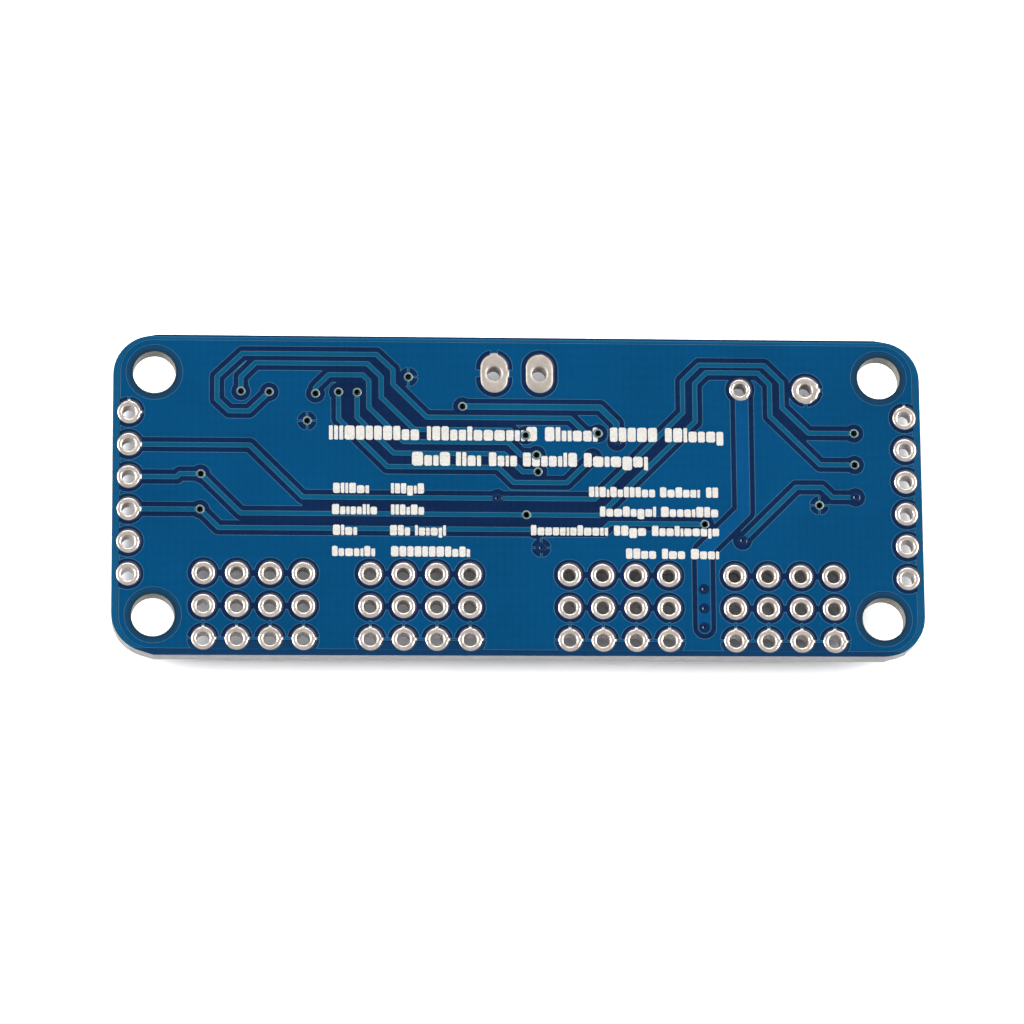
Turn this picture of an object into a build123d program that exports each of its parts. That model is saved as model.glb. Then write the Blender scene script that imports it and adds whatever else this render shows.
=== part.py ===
from build123d import *
import math
import os

os.makedirs("parts", exist_ok=True)

# Sixteen-channel servo driver board, bare of its through-hole connectors.
# Millimetres. The solder side faces +Z, the surface-mounted parts hang below.
# X runs along the board, Y across it; the four-by-four servo footprints lie on -Y.
# The origin is under the middle of the board, on the plane of the lowest component.

# ------------------------------------------------------------------ dimensions
BOARD_X = 62.20            # overall length
BOARD_Y = 25.40            # overall width over the snapped webs
BOARD_T = 1.60             # laminate thickness
CORNER_R = 3.10            # routed corner radius
FACE_TOP = 12.50           # printed face ends here on the +Y side
FACE_BOT_L = -12.62        # printed face ends here on the -Y side, left end
FACE_BOT_R = -12.46        # and right end (the score runs slightly askew)
CORNER_TOP = 12.42         # routed corner crown, +Y
CORNER_BOT = -12.44        # routed corner crown, -Y
WEB_Y = 12.70              # snapped web
WEB_T = 0.42               # thickness left between the two score grooves
WEB_X = 27.76              # half length of the scored edge, +Y side
WEB_XL, WEB_XR = 27.86, 27.95   # its two ends on the -Y side

MOUNT_X, MOUNT_Y, MOUNT_R = 27.94, 9.525, 1.65

PITCH = 2.54
SERVO_COLS = (0, 1, 2, 3, 5, 6, 7, 8, 11, 12, 13, 14, 16, 17, 18, 19)
SERVO_X = [(c - 9.5) * PITCH for c in SERVO_COLS]
ROW_SIG, ROW_POW, ROW_GND = -6.223, -8.763, -11.303
SIDE_X = 29.87
SIDE_Y = [PITCH * (2.5 - i) for i in range(6)]
PIN_HOLE_R = 0.50          # finished hole of every header pin
PIN_PAD_R = 0.90
TERM_X, TERM_Y = (-1.84, 1.66), 9.64
TERM_W, TERM_H, TERM_HOLE_R = 2.08, 3.03, 0.55
CAP_PLUS = (17.15, 8.51)
CAP_MINUS = (22.23, 8.51)
CAP_PLUS_R, CAP_MINUS_R, CAP_HOLE_R = 0.83, 1.05, 0.50

CU = 0.035                 # copper foil
TIN = 0.040                # levelled tin on bare copper
MASK = 0.060               # lacquer top above the laminate
INK = 0.020                # printed ink
WALL = 0.030               # plated wall of a pin hole
VIA_HOLE_R, VIA_PAD_R, VIA_WALL = 0.17, 0.36, 0.020

TRACK_W, GAP = 0.40, 0.36
TRUNK_W = 1.05
POUR_X, POUR_Y, POUR_R = 30.55, 12.12, 2.50   # half length, half width and corner of the ground area
PAD_GAP = 0.30
MASK_SHIFT = (0.05, 0.05)  # lacquer film laid slightly off

SEAT = CU + TIN            # height at which surface-mounted parts sit
DPAK_H = 2.30
ZB = SEAT + DPAK_H         # component-side laminate plane
ZT = ZB + BOARD_T          # solder-side laminate plane

# vias: x, y, open or tented, net
VIAS = [
    (-21.32, 8.07, "open", "sig"), (-19.15, 8.03, "open", "sig"),
    (-15.60, 7.93, "open", "sig"), (-13.83, 8.07, "open", "sig"),
    (-12.40, 8.05, "open", "sig"), (-4.30, 7.00, "open", "sig"),
    (6.13, 4.95, "open", "sig"), (0.55, 4.75, "open", "sig"),
    (1.37, 3.20, "open", "sig"), (1.47, 1.87, "open", "sig"),
    (25.93, 5.10, "open", "sig"), (25.93, 2.60, "open", "sig"),
    (-24.36, 1.52, "open", "sig"), (-24.41, -1.26, "open", "sig"),
    (0.55, -1.53, "open", "sig"), (14.26, -2.17, "open", "sig"),
    (23.14, -0.62, "open", "gnd"), (-8.46, 9.30, "open", "gnd"),
    (-16.24, 5.77, "open", "gnd"),
    (7.55, 4.30, "tented", "sig"), (5.70, 3.05, "tented", "sig"),
    (-1.65, -0.24, "tented", "sig"), (1.28, -2.68, "tented", "sig"),
    (1.67, -4.11, "tented", "gnd"), (17.14, -3.44, "tented", "sig"),
    (25.95, 0.03, "tented", "sig"), (14.12, -7.27, "tented", "pow"),
    (14.12, -8.78, "tented", "pow"), (14.12, -10.26, "tented", "pow"),
]

# solder-side signal tracks (width, route)
TRACKS = [
    (TRACK_W, [(-19.15, 8.03), (-20.70, 6.50), (-22.20, 6.50), (-23.15, 7.40), (-23.15, 9.20),
               (-21.20, 11.07), (-10.90, 11.07), (-9.64, 9.86), (-9.64, 8.72), (-7.05, 6.13),
               (4.00, 6.13), (5.18, 4.95), (6.13, 4.95)]),
    (TRACK_W, [(-21.32, 8.07), (-21.32, 9.20), (-20.20, 10.33), (-11.60, 10.33), (-10.55, 9.30),
               (-10.55, 7.68), (-8.02, 5.15), (-0.60, 5.15), (-0.20, 4.75), (0.55, 4.75)]),
    (TRACK_W, [(-15.60, 7.93), (-15.60, 8.40), (-14.57, 9.43), (-11.95, 9.43), (-11.50, 8.98),
               (-11.50, 6.86), (-8.82, 4.18), (-0.80, 4.18), (0.18, 3.20), (1.37, 3.20)]),
    (TRACK_W, [(-12.40, 8.05), (-12.40, 6.07), (-9.60, 3.27), (-1.10, 3.27), (0.30, 1.87), (1.47, 1.87)]),
    (TRACK_W, [(-13.83, 8.07), (-13.83, 5.95), (-10.08, 2.20), (-1.58, 2.20), (-0.40, 1.02),
               (3.67, 1.02), (5.70, 3.05)]),
    (0.50, [(-4.30, 7.00), (6.30, 7.00), (7.55, 5.75), (7.55, 4.30)]),
    (TRACK_W, [(-SIDE_X, SIDE_Y[1]), (-20.62, 3.81), (-16.57, -0.24), (5.82, -0.24), (12.70, 6.64),
               (12.70, 9.15), (14.00, 10.45), (19.05, 10.45), (20.40, 9.10), (20.40, 7.10),
               (22.40, 5.10), (25.93, 5.10)]),
    (TRACK_W, [(-SIDE_X, SIDE_Y[2]), (-26.20, 1.27), (-25.95, 1.52), (-24.36, 1.52), (-21.31, -1.53),
               (6.17, -1.53), (13.65, 5.95), (13.65, 8.95), (14.55, 9.85), (18.55, 9.85),
               (19.45, 8.95), (19.45, 6.42), (23.27, 2.60), (25.93, 2.60)]),
    (TRACK_W, [(-SIDE_X, SIDE_Y[3]), (-24.41, -1.26), (-22.99, -2.68), (6.44, -2.68), (6.95, -2.17),
               (14.26, -2.17)]),
    (TRACK_W, [(17.14, -3.44), (21.38, 0.80), (23.38, 0.80), (24.15, 0.03), (25.95, 0.03)]),
]
TRUNK = (TRUNK_W, [CAP_PLUS, (17.28, 8.00), (17.28, -1.15), (14.12, -4.31), (14.12, -10.26)])

# component-side parts: centres
CHIP = (-6.90, 1.20)
CHIP_L, CHIP_W, CHIP_T, CHIP_OFF = 9.70, 4.40, 1.00, 0.10
CHIP_PITCH, CHIP_PINS = 0.65, 14
CHIP_SPAN, LEAD_W, LEAD_T = 6.40, 0.24, 0.14
DPAK = (10.05, 8.75)       # centre of the moulded body
DPAK_BX, DPAK_BY = 6.10, 6.50
ARRAYS_SIG = [(-20.32, -3.75), (-7.62, -3.75), (7.62, -3.75), (20.32, -3.75)]
ARRAYS_ADR = [(-19.30, 5.70), (-13.60, 5.70)]
ARR_L, ARR_W, ARR_T, ARR_P = 3.20, 1.60, 0.50, 0.80
RESISTORS = [(-26.60, 1.52), (-26.60, -1.26), (21.60, 2.90), (13.60, 4.20)]
RES_L, RES_W, RES_T = 1.60, 0.80, 0.45
CAPS = [((-0.95, -2.05), 1.60, 0.80, 0.80), ((-13.90, 2.40), 2.00, 1.25, 1.20)]
LED = (21.60, 4.70)
LED_L, LED_W, LED_T = 2.00, 1.25, 0.80
JUMP_X = [-22.30 + 2.0 * j for j in range(6)]
JUMP_Y = (10.75, 9.60)
JUMP_W, JUMP_H = 1.30, 0.90


# ------------------------------------------------------------------ 2-D helpers
def disc(x, y, r):
    return Pos(x, y, 0) * Circle(r)


def rect(x0, y0, x1, y1):
    return Pos((x0 + x1) / 2, (y0 + y1) / 2, 0) * Rectangle(abs(x1 - x0), abs(y1 - y0))


def oval(x, y, w, h):
    return Pos(x, y, 0) * Rot(0, 0, 90) * SlotOverall(h, w)


def strip(pts, w):
    """A conductor of constant width with round ends and round outer corners."""
    r = w / 2
    P = [Vector(*p) for p in pts]
    D = [(P[i + 1] - P[i]).normalized() for i in range(len(P) - 1)]
    N = [Vector(-d.Y, d.X) for d in D]

    def side(sign):
        out = []                       # list of points or (start, mid, end) arcs
        out.append(P[0] + N[0] * (sign * r))
        for i in range(1, len(P) - 1):
            n0, n1 = N[i - 1], N[i]
            cr = D[i - 1].X * D[i].Y - D[i - 1].Y * D[i].X
            if abs(cr) < 1e-4:
                continue
            m = n0 + n1
            if cr * sign > 0:          # inner side: mitre point
                out.append(P[i] + m * (sign * r / (1 + n0.dot(n1))))
            else:                      # outer side: arc
                out.append((P[i] + n0 * (sign * r), P[i] + m.normalized() * (sign * r), P[i] + n1 * (sign * r)))
        out.append(P[-1] + N[-1] * (sign * r))
        return out

    edges = []

    def walk(seq):
        cur = None
        for s in seq:
            if isinstance(s, tuple):
                if cur is not None and (cur - s[0]).length > 1e-6:
                    edges.append(Edge.make_line(cur, s[0]))
                edges.append(Edge.make_three_point_arc(s[0], s[1], s[2]))
                cur = s[2]
            else:
                if cur is not None and (cur - s).length > 1e-6:
                    edges.append(Edge.make_line(cur, s))
                cur = s
        return cur

    L = side(1)
    R = side(-1)
    R = [tuple(reversed(s)) if isinstance(s, tuple) else s for s in reversed(R)]
    walk(L)
    edges.append(Edge.make_three_point_arc(P[-1] + N[-1] * r, P[-1] + D[-1] * r, P[-1] - N[-1] * r))
    walk(R)
    edges.append(Edge.make_three_point_arc(P[0] - N[0] * r, P[0] - D[0] * r, P[0] + N[0] * r))
    return Sketch() + Face(Wire(edges))


def crown(x, s):
    """Y of the routed corner arc at |x|."""
    reach = math.sqrt(CORNER_R ** 2 - (x - BOARD_X / 2 + CORNER_R) ** 2)
    return CORNER_TOP - CORNER_R + reach if s > 0 else CORNER_BOT + CORNER_R - reach


def outline(inset=0.0):
    """The printed face: straight scored edges between four routed corners."""
    hx = BOARD_X / 2 - inset
    r = CORNER_R - inset
    cx = BOARD_X / 2 - CORNER_R
    yt, yb = CORNER_TOP - inset, CORNER_BOT + inset
    body = rect(-hx, yb + r, hx, yt - r) + rect(-cx, yb, cx, yt)
    for sx in (-1, 1):
        body += disc(sx * cx, yt - r, r)
        body += disc(sx * cx, yb + r, r)
    if inset == 0.0:
        top = Polyline((-28.50, 0), (28.50, 0), (28.50, crown(28.50, 1)), (WEB_X, FACE_TOP), (-WEB_X, FACE_TOP),
                       (-28.50, crown(28.50, 1)), (-28.50, 0))
        bot = Polyline((-28.90, 0), (-28.90, crown(28.90, -1)), (-WEB_XL, FACE_BOT_L), (WEB_XR, FACE_BOT_R),
                       (28.30, crown(28.30, -1)), (28.30, 0), (-28.90, 0))
        body += make_face(top)
        body += make_face(bot)
    return body


def prism(sk, z0, z1):
    """Extrude every face of a flat sketch from z0 to z1."""
    faces = sk.faces() if hasattr(sk, "faces") else [sk]
    out = []
    for f in faces:
        s = Solid.extrude(f, Vector(0, 0, z1 - z0))
        out.append(Pos(0, 0, z0) * s)
    return out


def save(name, solids):
    """Write one node: a flat list of separate closed solids."""
    flat = []
    for s in solids:
        flat.extend(s.solids())
    comp = Compound(flat)
    comp.label = name
    export_step(comp, f"parts/{name}.step")
    print(name, len(flat), "solids, volume %.4f" % sum(s.volume for s in flat),
          "valid" if all(s.is_valid for s in flat) else "INVALID")
    return flat


def box(x0, y0, z0, x1, y1, z1):
    return Pos((x0 + x1) / 2, (y0 + y1) / 2, (z0 + z1) / 2) * Box(abs(x1 - x0), abs(y1 - y0), abs(z1 - z0))


def below(x, y, w, h, d0, d1):
    """A block under the board, d0 to d1 below the component-side laminate."""
    return box(x - w / 2, y - h / 2, ZB - d1, x + w / 2, y + h / 2, ZB - d0)


# ------------------------------------------------------------------ pads
PIN_PADS = {
    "servo_signal_pads": [(x, ROW_SIG) for x in SERVO_X],
    "servo_power_pads": [(x, ROW_POW) for x in SERVO_X],
    "servo_ground_pads": [(x, ROW_GND) for x in SERVO_X],
    "left_breakout_pads": [(-SIDE_X, y) for y in SIDE_Y],
    "right_breakout_pads": [(SIDE_X, y) for y in SIDE_Y],
}
GND_PINS = [(x, ROW_GND) for x in SERVO_X] + [(-SIDE_X, SIDE_Y[0]), (SIDE_X, SIDE_Y[0])]
ALL_PINS = [p for v in PIN_PADS.values() for p in v]


def ring_pad(x, y, r_hole, r_pad, wall, oval_wh=None):
    """A plated through hole: both annular pads and the barrel between them."""
    flat = disc(x, y, r_pad) if oval_wh is None else oval(x, y, *oval_wh)
    hole = disc(x, y, r_hole)
    land = flat - hole
    tube = disc(x, y, r_hole + wall) - hole
    top = prism(land, ZT, ZT + SEAT)[0]
    bot = prism(land, ZB - SEAT, ZB)[0]
    mid = prism(tube, ZB, ZT)[0]
    pad = top + mid + bot
    rim = [e for e in pad.edges() if abs(e.center().Z - (ZT + SEAT)) < 1e-6 or abs(e.center().Z - (ZB - SEAT)) < 1e-6]
    return chamfer(rim, 0.025)


for name, pts in PIN_PADS.items():
    save(name, [ring_pad(x, y, PIN_HOLE_R, PIN_PAD_R, WALL) for x, y in pts])
save("terminal_pads", [ring_pad(x, TERM_Y, TERM_HOLE_R, 0, WALL, (TERM_W, TERM_H)) for x in TERM_X])
save("capacitor_pads", [ring_pad(*CAP_PLUS, CAP_HOLE_R, CAP_PLUS_R, WALL),
                        ring_pad(*CAP_MINUS, CAP_HOLE_R, CAP_MINUS_R, WALL)])


def via_solid(x, y):
    land = disc(x, y, VIA_PAD_R) - disc(x, y, VIA_HOLE_R)
    tube = disc(x, y, VIA_HOLE_R + VIA_WALL) - disc(x, y, VIA_HOLE_R)
    return prism(land, ZT, ZT + CU)[0] + prism(tube, ZB, ZT)[0] + prism(land, ZB - CU, ZB)[0]


save("open_vias", [via_solid(x, y) for x, y, k, n in VIAS if k == "open"])
save("tented_vias", [via_solid(x, y) for x, y, k, n in VIAS if k == "tented"])

# ------------------------------------------------------------------ laminate
face = outline()
drill = [disc(sx * MOUNT_X, sy * MOUNT_Y, MOUNT_R) for sx in (-1, 1) for sy in (-1, 1)]
pin_drill = [disc(x, y, PIN_HOLE_R + WALL) for x, y in ALL_PINS]
pin_drill += [disc(x, TERM_Y, TERM_HOLE_R + WALL) for x in TERM_X]
pin_drill += [disc(*CAP_PLUS, CAP_HOLE_R + WALL), disc(*CAP_MINUS, CAP_HOLE_R + WALL)]
via_drill = [disc(x, y, VIA_HOLE_R + VIA_WALL) for x, y, k, n in VIAS]
plate = face - drill - pin_drill - via_drill
core = prism(plate, ZB, ZT)[0]


def web(xl, y_edge_l, xr, y_edge_r, s):
    """The tongue left by scoring from both faces and snapping the panel."""
    zc = (ZB + ZT) / 2
    def section(x, y_edge):
        return Face(Wire.make_polygon([
            Vector(x, y_edge - s * 0.30, ZB), Vector(x, y_edge, ZB),
            Vector(x, s * (WEB_Y - 0.02), zc - WEB_T / 2), Vector(x, s * WEB_Y, zc - WEB_T / 6),
            Vector(x, s * (WEB_Y - 0.03), zc + WEB_T / 6), Vector(x, s * (WEB_Y - 0.01), zc + WEB_T / 2),
            Vector(x, y_edge, ZT), Vector(x, y_edge - s * 0.30, ZT)], close=True))
    return Solid.make_loft([section(xl, y_edge_l).outer_wire(), section(xr, y_edge_r).outer_wire()], True)


def web_end(x_near, y_edge, x_far, proud, s):
    """The tongue runs out into the routed corner."""
    zc = (ZB + ZT) / 2
    def section(x, y_edge, y_tip, y_back):
        return Face(Wire.make_polygon([
            Vector(x, y_back, ZB), Vector(x, y_edge, ZB),
            Vector(x, s * (y_tip - 0.02), zc - WEB_T / 2), Vector(x, s * y_tip, zc - WEB_T / 6),
            Vector(x, s * (y_tip - 0.03), zc + WEB_T / 6), Vector(x, s * (y_tip - 0.01), zc + WEB_T / 2),
            Vector(x, y_edge, ZT), Vector(x, y_back, ZT)], close=True))
    near = section(x_near, y_edge, WEB_Y, y_edge - s * 0.30)
    yr = crown(abs(x_far), s)
    far = section(x_far, yr - s * 0.04, abs(yr) + proud, yr - s * 0.30)
    return Solid.make_loft([near.outer_wire(), far.outer_wire()], True)


core = core + web(-WEB_X, FACE_TOP, WEB_X, FACE_TOP, 1)
core = core + web(-WEB_XL, FACE_BOT_L, WEB_XR, FACE_BOT_R, -1)
core = core + web_end(-WEB_X, FACE_TOP, -29.10, 0.0, 1) + web_end(WEB_X, FACE_TOP, 29.10, 0.0, 1)
core = core + web_end(-WEB_XL, FACE_BOT_L, -29.50, 0.06, -1) + web_end(WEB_XR, FACE_BOT_R, 29.60, 0.18, -1)
save("laminate", [core])

# ------------------------------------------------------------------ solder-side copper
def pad_discs(grow=0.0):
    out = [disc(x, y, PIN_PAD_R + grow) for x, y in ALL_PINS]
    out += [oval(x, TERM_Y, TERM_W + 2 * grow, TERM_H + 2 * grow) for x in TERM_X]
    out += [disc(*CAP_PLUS, CAP_PLUS_R + grow), disc(*CAP_MINUS, CAP_MINUS_R + grow)]
    return out


def via_discs(grow=0.0):
    return [disc(x, y, VIA_PAD_R + grow) for x, y, k, n in VIAS]


track_faces = [strip(p, w) for w, p in TRACKS]
trunk_face = strip(TRUNK[1], TRUNK[0])
solder_tracks = []
for t in track_faces:
    solder_tracks += (t - pad_discs() - via_discs()).faces()
save("signal_tracks_solder_side", [s for f in solder_tracks for s in prism(f, ZT, ZT + CU)])
trunk_cut = trunk_face - [disc(*CAP_PLUS, CAP_PLUS_R)] - [disc(x, y, VIA_PAD_R) for x, y, k, n in VIAS if n == "pow"]
save("supply_trunk_solder_side", prism(trunk_cut, ZT, ZT + CU))

clear = [strip(p, w + 2 * GAP) for w, p in TRACKS]
clear += [strip(TRUNK[1], TRUNK[0] + 2 * GAP)]
clear += [disc(x, y, PIN_PAD_R + PAD_GAP) for x, y in ALL_PINS]
clear += [oval(x, TERM_Y, TERM_W + 0.72, TERM_H + 0.72) for x in TERM_X]
clear += [disc(*CAP_PLUS, CAP_PLUS_R + 0.30), disc(*CAP_MINUS, CAP_MINUS_R + 0.30)]
clear += [disc(x, y, VIA_PAD_R + 0.37) for x, y, k, n in VIAS if n != "pow"]
clear += [disc(sx * MOUNT_X, sy * MOUNT_Y, 2.15) for sx in (-1, 1) for sy in (-1, 1)]
# necks too thin to be etched as copper
clear += [rect(-16.60, -1.45, 6.10, -0.35), rect(-21.20, -2.60, 6.60, -1.60)]
clear += [strip([(5.80, -0.90), (13.20, 6.30), (13.20, 9.05), (14.30, 10.15), (18.80, 10.15), (19.93, 9.03),
                 (19.93, 6.80), (22.02, 4.70)], 0.60)]
clear += [rect(-14.00, 7.00, -12.00, 9.10)]
groups = [(SERVO_X[4 * g], SERVO_X[4 * g + 3]) for g in range(4)]
for a, b in groups:
    clear += [rect(a - 0.90, ROW_GND - 1.10, b + 0.90, ROW_GND - 0.11)]
    clear += [rect(a, y - 0.24, b, y + 0.24) for y in (ROW_SIG, ROW_POW)]

pour_area = Sketch() + RectangleRounded(2 * POUR_X, 2 * POUR_Y, POUR_R)
pour = pour_area - clear
spokes = []
for x, y in GND_PINS:
    for k in range(4):
        a = math.radians(90 * k)
        if k == 3 or (x > 29 and k != 1) or (x < -29 and k == 2):
            continue
        ex, ey = math.cos(a) * 1.45, math.sin(a) * 1.45
        w = 0.11
        spokes.append(rect(x - abs(math.sin(a)) * w, y - abs(math.cos(a)) * w,
                           x + ex + abs(math.sin(a)) * w, y + ey + abs(math.cos(a)) * w))
tx = TERM_X[0]
spokes += [rect(tx - 1.60, TERM_Y - 0.30, tx, TERM_Y + 0.30), rect(tx, TERM_Y - 0.30, tx + 1.60, TERM_Y + 0.30),
           rect(tx - 0.30, TERM_Y, tx + 0.30, TERM_Y + 2.10)]
cx, cy = CAP_MINUS
spokes += [rect(cx, cy - 0.16, cx + 1.55, cy + 0.16), rect(cx - 0.16, cy - 1.55, cx + 0.16, cy)]
for x, y, k, n in VIAS:
    if n == "gnd":
        for q in (0, 90):
            spokes.append(Pos(x, y, 0) * Rot(0, 0, q) * Rectangle(1.56, 0.20))
pour = pour + spokes
pour = pour & pour_area
pour = pour - pad_discs() - via_discs()
pour_faces = [f for f in pour.faces() if f.area > 1.30]   # thinner islands don't survive etching
print("pour pieces", len(pour.faces()), "kept", len(pour_faces))
save("ground_pour_solder_side", [s for f in pour_faces for s in prism(f, ZT, ZT + CU)])

# ------------------------------------------------------------------ solder-side lacquer
open_pads = []
mx, my = MASK_SHIFT
for x, y in ALL_PINS:
    open_pads.append(disc(x + mx, y + my, PIN_PAD_R + 0.08))
for x in TERM_X:
    open_pads.append(oval(x + mx, TERM_Y + my, TERM_W + 0.16, TERM_H + 0.16))
open_pads += [disc(CAP_PLUS[0] + mx, CAP_PLUS[1] + my, CAP_PLUS_R + 0.08),
              disc(CAP_MINUS[0] + mx, CAP_MINUS[1] + my, CAP_MINUS_R + 0.08)]
open_vias = [disc(x + mx * 0.5, y + my * 0.5, VIA_PAD_R - 0.02) for x, y, k, n in VIAS if k == "open"]
mount_rings = [disc(sx * MOUNT_X, sy * MOUNT_Y, MOUNT_R + 0.04) for sx in (-1, 1) for sy in (-1, 1)]
film = outline(0.0) - open_pads - open_vias - mount_rings
sheet = prism(film, ZT, ZT + MASK)[0]
cu_cut = []
for f in pour_faces + list(solder_tracks) + list(trunk_cut.faces()):
    cu_cut += prism(f, ZT - 0.05, ZT + CU)
for f in pad_discs():
    cu_cut += prism(f, ZT - 0.05, ZT + MASK + 0.10)
for x, y, k, n in VIAS:
    cu_cut += prism(disc(x, y, VIA_PAD_R), ZT - 0.05, ZT + CU)
sheet = sheet - cu_cut
save("solder_mask_solder_side", [s for s in sheet.solids() if s.volume > 1e-4])

# ------------------------------------------------------------------ solder-side ink
def greek(x0, x1, y, h, seed, caps=0):
    """One group of meaningless block marks standing on a line; caps marks at the start stand full height."""
    w, k = [], seed
    while sum(w) < x1 - x0:
        k = (k * 73 + 41) % 997
        w.append(h * (0.42, 0.74, 0.62, 0.80, 0.36, 0.68, 0.58, 0.72)[k % 8])
    if len(w) > 1 and sum(w) - (x1 - x0) > w[-1] / 2:
        w.pop()
    f = (x1 - x0 + h * 0.09) / sum(w)
    out, x, k = [], x0, seed * 7 + 3
    for i, q in enumerate(w):
        k = (k * 57 + 29) % 991
        ww = q * f - h * 0.09
        tall = i < max(caps, 1) or k % 4 == 0
        hh = h * (1.0 if tall else 0.76)
        lo = h * 0.22 if (not tall and k % 9 == 1) else 0.0
        out.append(Pos(x + ww / 2, y + (hh - lo) / 2, 0) * RectangleRounded(ww, hh + lo, min(ww, hh) * 0.26))
        x += q * f
    return out


INK_WORDS = [                                         # baseline, height, then each group's start, end and full-height marks
    (4.30, 1.11, [(-14.56, -7.65, 9), (-7.04, 1.42, 3), (2.04, 6.10, 2), (7.05, 10.68, 4), (11.30, 15.80, 1)]),
    (2.29, 1.09, [(-8.20, -5.28, 1), (-4.82, -2.90, 1), (-2.29, -0.14, 1), (0.33, 4.48, 0), (5.02, 9.95, 0)]),
    (0.09, 0.80, [(-14.25, -11.50, 4), (-9.82, -7.29, 3)]),
    (-1.58, 0.80, [(-14.33, -10.89, 1), (-9.82, -7.29, 3)]),
    (-3.20, 0.80, [(-14.26, -12.42, 2), (-9.90, -8.37, 2), (-7.99, -5.62, 1)]),
    (-4.86, 0.80, [(-14.33, -11.05, 1), (-9.83, -3.79, 8)]),
    (-0.08, 0.80, [(5.38, 10.46, 1), (10.85, 13.93, 1), (14.40, 15.32, 1)]),
    (-1.62, 0.80, [(6.21, 10.52, 0), (10.90, 15.30, 0)]),
    (-3.12, 0.80, [(0.89, 6.81, 0), (7.27, 9.73, 1), (10.19, 15.35, 1)]),
    (-4.92, 0.80, [(8.17, 10.47, 0), (10.93, 12.70, 0), (13.16, 15.32, 0)]),
]
ink = []
for li, (y, h, words) in enumerate(INK_WORDS):
    for wi, (x0, x1, caps) in enumerate(words):
        ink += greek(x0, x1, y, h, 11 + 17 * li + 5 * wi, caps)
via_keepout = [disc(x, y, VIA_PAD_R + 0.02) for x, y, k, n in VIAS if k == "open"]
ink_sk = Sketch() + ink
ink_sk = ink_sk - via_keepout
save("printed_marks_solder_side", [s for f in ink_sk.faces() if f.area > 0.02 for s in prism(f, ZT + MASK, ZT + MASK + INK)])

# ------------------------------------------------------------------ component-side copper
FINE = 0.18
chip_x = [CHIP[0] + (k - (CHIP_PINS - 1) / 2) * CHIP_PITCH for k in range(CHIP_PINS)]
chip_rows = (CHIP[1] + 2.90, CHIP[1] - 2.90)          # pad centres, upper and lower row
PAD_L = 1.50
arr_x = [(-1.5 + k) * ARR_P for k in range(4)]
arr_dy = 0.80

lands = []                                            # flat faces of every surface pad
for x in chip_x:
    for y in chip_rows:
        lands.append(rect(x - 0.17, y - PAD_L / 2, x + 0.17, y + PAD_L / 2))
for ax, ay in ARRAYS_SIG + ARRAYS_ADR:
    for dx in arr_x:
        for s in (-1, 1):
            lands.append(rect(ax + dx - 0.22, ay + s * 0.50, ax + dx + 0.22, ay + s * 1.15))
for rx, ry in RESISTORS:
    for s in (-1, 1):
        lands.append(rect(rx + s * 0.45, ry - 0.42, rx + s * 1.20, ry + 0.42))
for (c0, c1), L, W, T in CAPS:
    for s in (-1, 1):
        lands.append(rect(c0 + s * (L / 2 - 0.35), c1 - W / 2 - 0.05, c0 + s * (L / 2 + 0.40), c1 + W / 2 + 0.05))
for s in (-1, 1):
    lands.append(rect(LED[0] + s * 0.62, LED[1] - 0.62, LED[0] + s * 1.40, LED[1] + 0.62))
for jx in JUMP_X:
    for jy in JUMP_Y:
        lands.append(rect(jx - JUMP_W / 2, jy - JUMP_H / 2, jx + JUMP_W / 2, jy + JUMP_H / 2))
dx0, dy0 = DPAK
TAB_PAD = (dx0 - DPAK_BX / 2 - 1.10, dy0 - 2.90, dx0 + 1.90, dy0 + 2.90)
LEAD_PADS = [(dx0 + 4.10, dy0 + s * 2.28 - 0.65, dx0 + 6.00, dy0 + s * 2.28 + 0.65) for s in (-1, 1)]
lands.append(rect(*TAB_PAD))
lands += [rect(*p) for p in LEAD_PADS]

ctracks = []
for i, x in enumerate(SERVO_X):                       # servo signal pin to its series resistor
    ax, ay = ARRAYS_SIG[i // 4]
    tx_ = ax + arr_x[i % 4]
    d = abs(x - tx_)
    ctracks.append((FINE, [(x, ROW_SIG), (x, ay - 1.25 - 0.02 - min(d, 0.9) * 0.3 - 0.10), (tx_, ay - 0.85)] if d < 0.9 else
                    [(x, ROW_SIG), (x, -5.28), (x + (tx_ - x) * 0.30, -5.28 + 0.12), (tx_, ay - 1.15), (tx_, ay - 0.85)]))
for j, k in enumerate((4, 5, 6, 7)):                  # chip to second array
    ctracks.append((FINE, [(chip_x[k], chip_rows[1] - 0.5), (chip_x[k], chip_rows[1] - 0.80),
                           (ARRAYS_SIG[1][0] + arr_x[j], ARRAYS_SIG[1][1] + 0.95)]))
for j, k in enumerate((0, 1, 2, 3)):                  # chip to first array
    lv = -2.75 - 0.36 * j
    x1 = -12.30 + 0.15 * j
    lx = ARRAYS_SIG[0][0] + arr_x[j]
    ctracks.append((FINE, [(chip_x[k], chip_rows[1]), (chip_x[k], lv), (x1, lv), (x1 - 1.90, lv + 1.90),
                           (lx, lv + 1.90), (lx, ARRAYS_SIG[0][1] + 0.85)]))
for j in range(8):                                    # chip to third and fourth arrays
    k = 1 + j
    lv = 0.30 + 0.30 * j
    a = ARRAYS_SIG[2 + j // 4]
    lx = a[0] + arr_x[j % 4]
    x1 = -0.62 + 0.124 * j
    ctracks.append((0.15, [(chip_x[k], chip_rows[0]), (chip_x[k], lv), (x1, lv), (x1 + 1.20, lv - 1.20),
                           (lx, lv - 1.20), (lx, a[1] + 0.85)]))
cu_, cl_ = chip_rows
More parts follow.
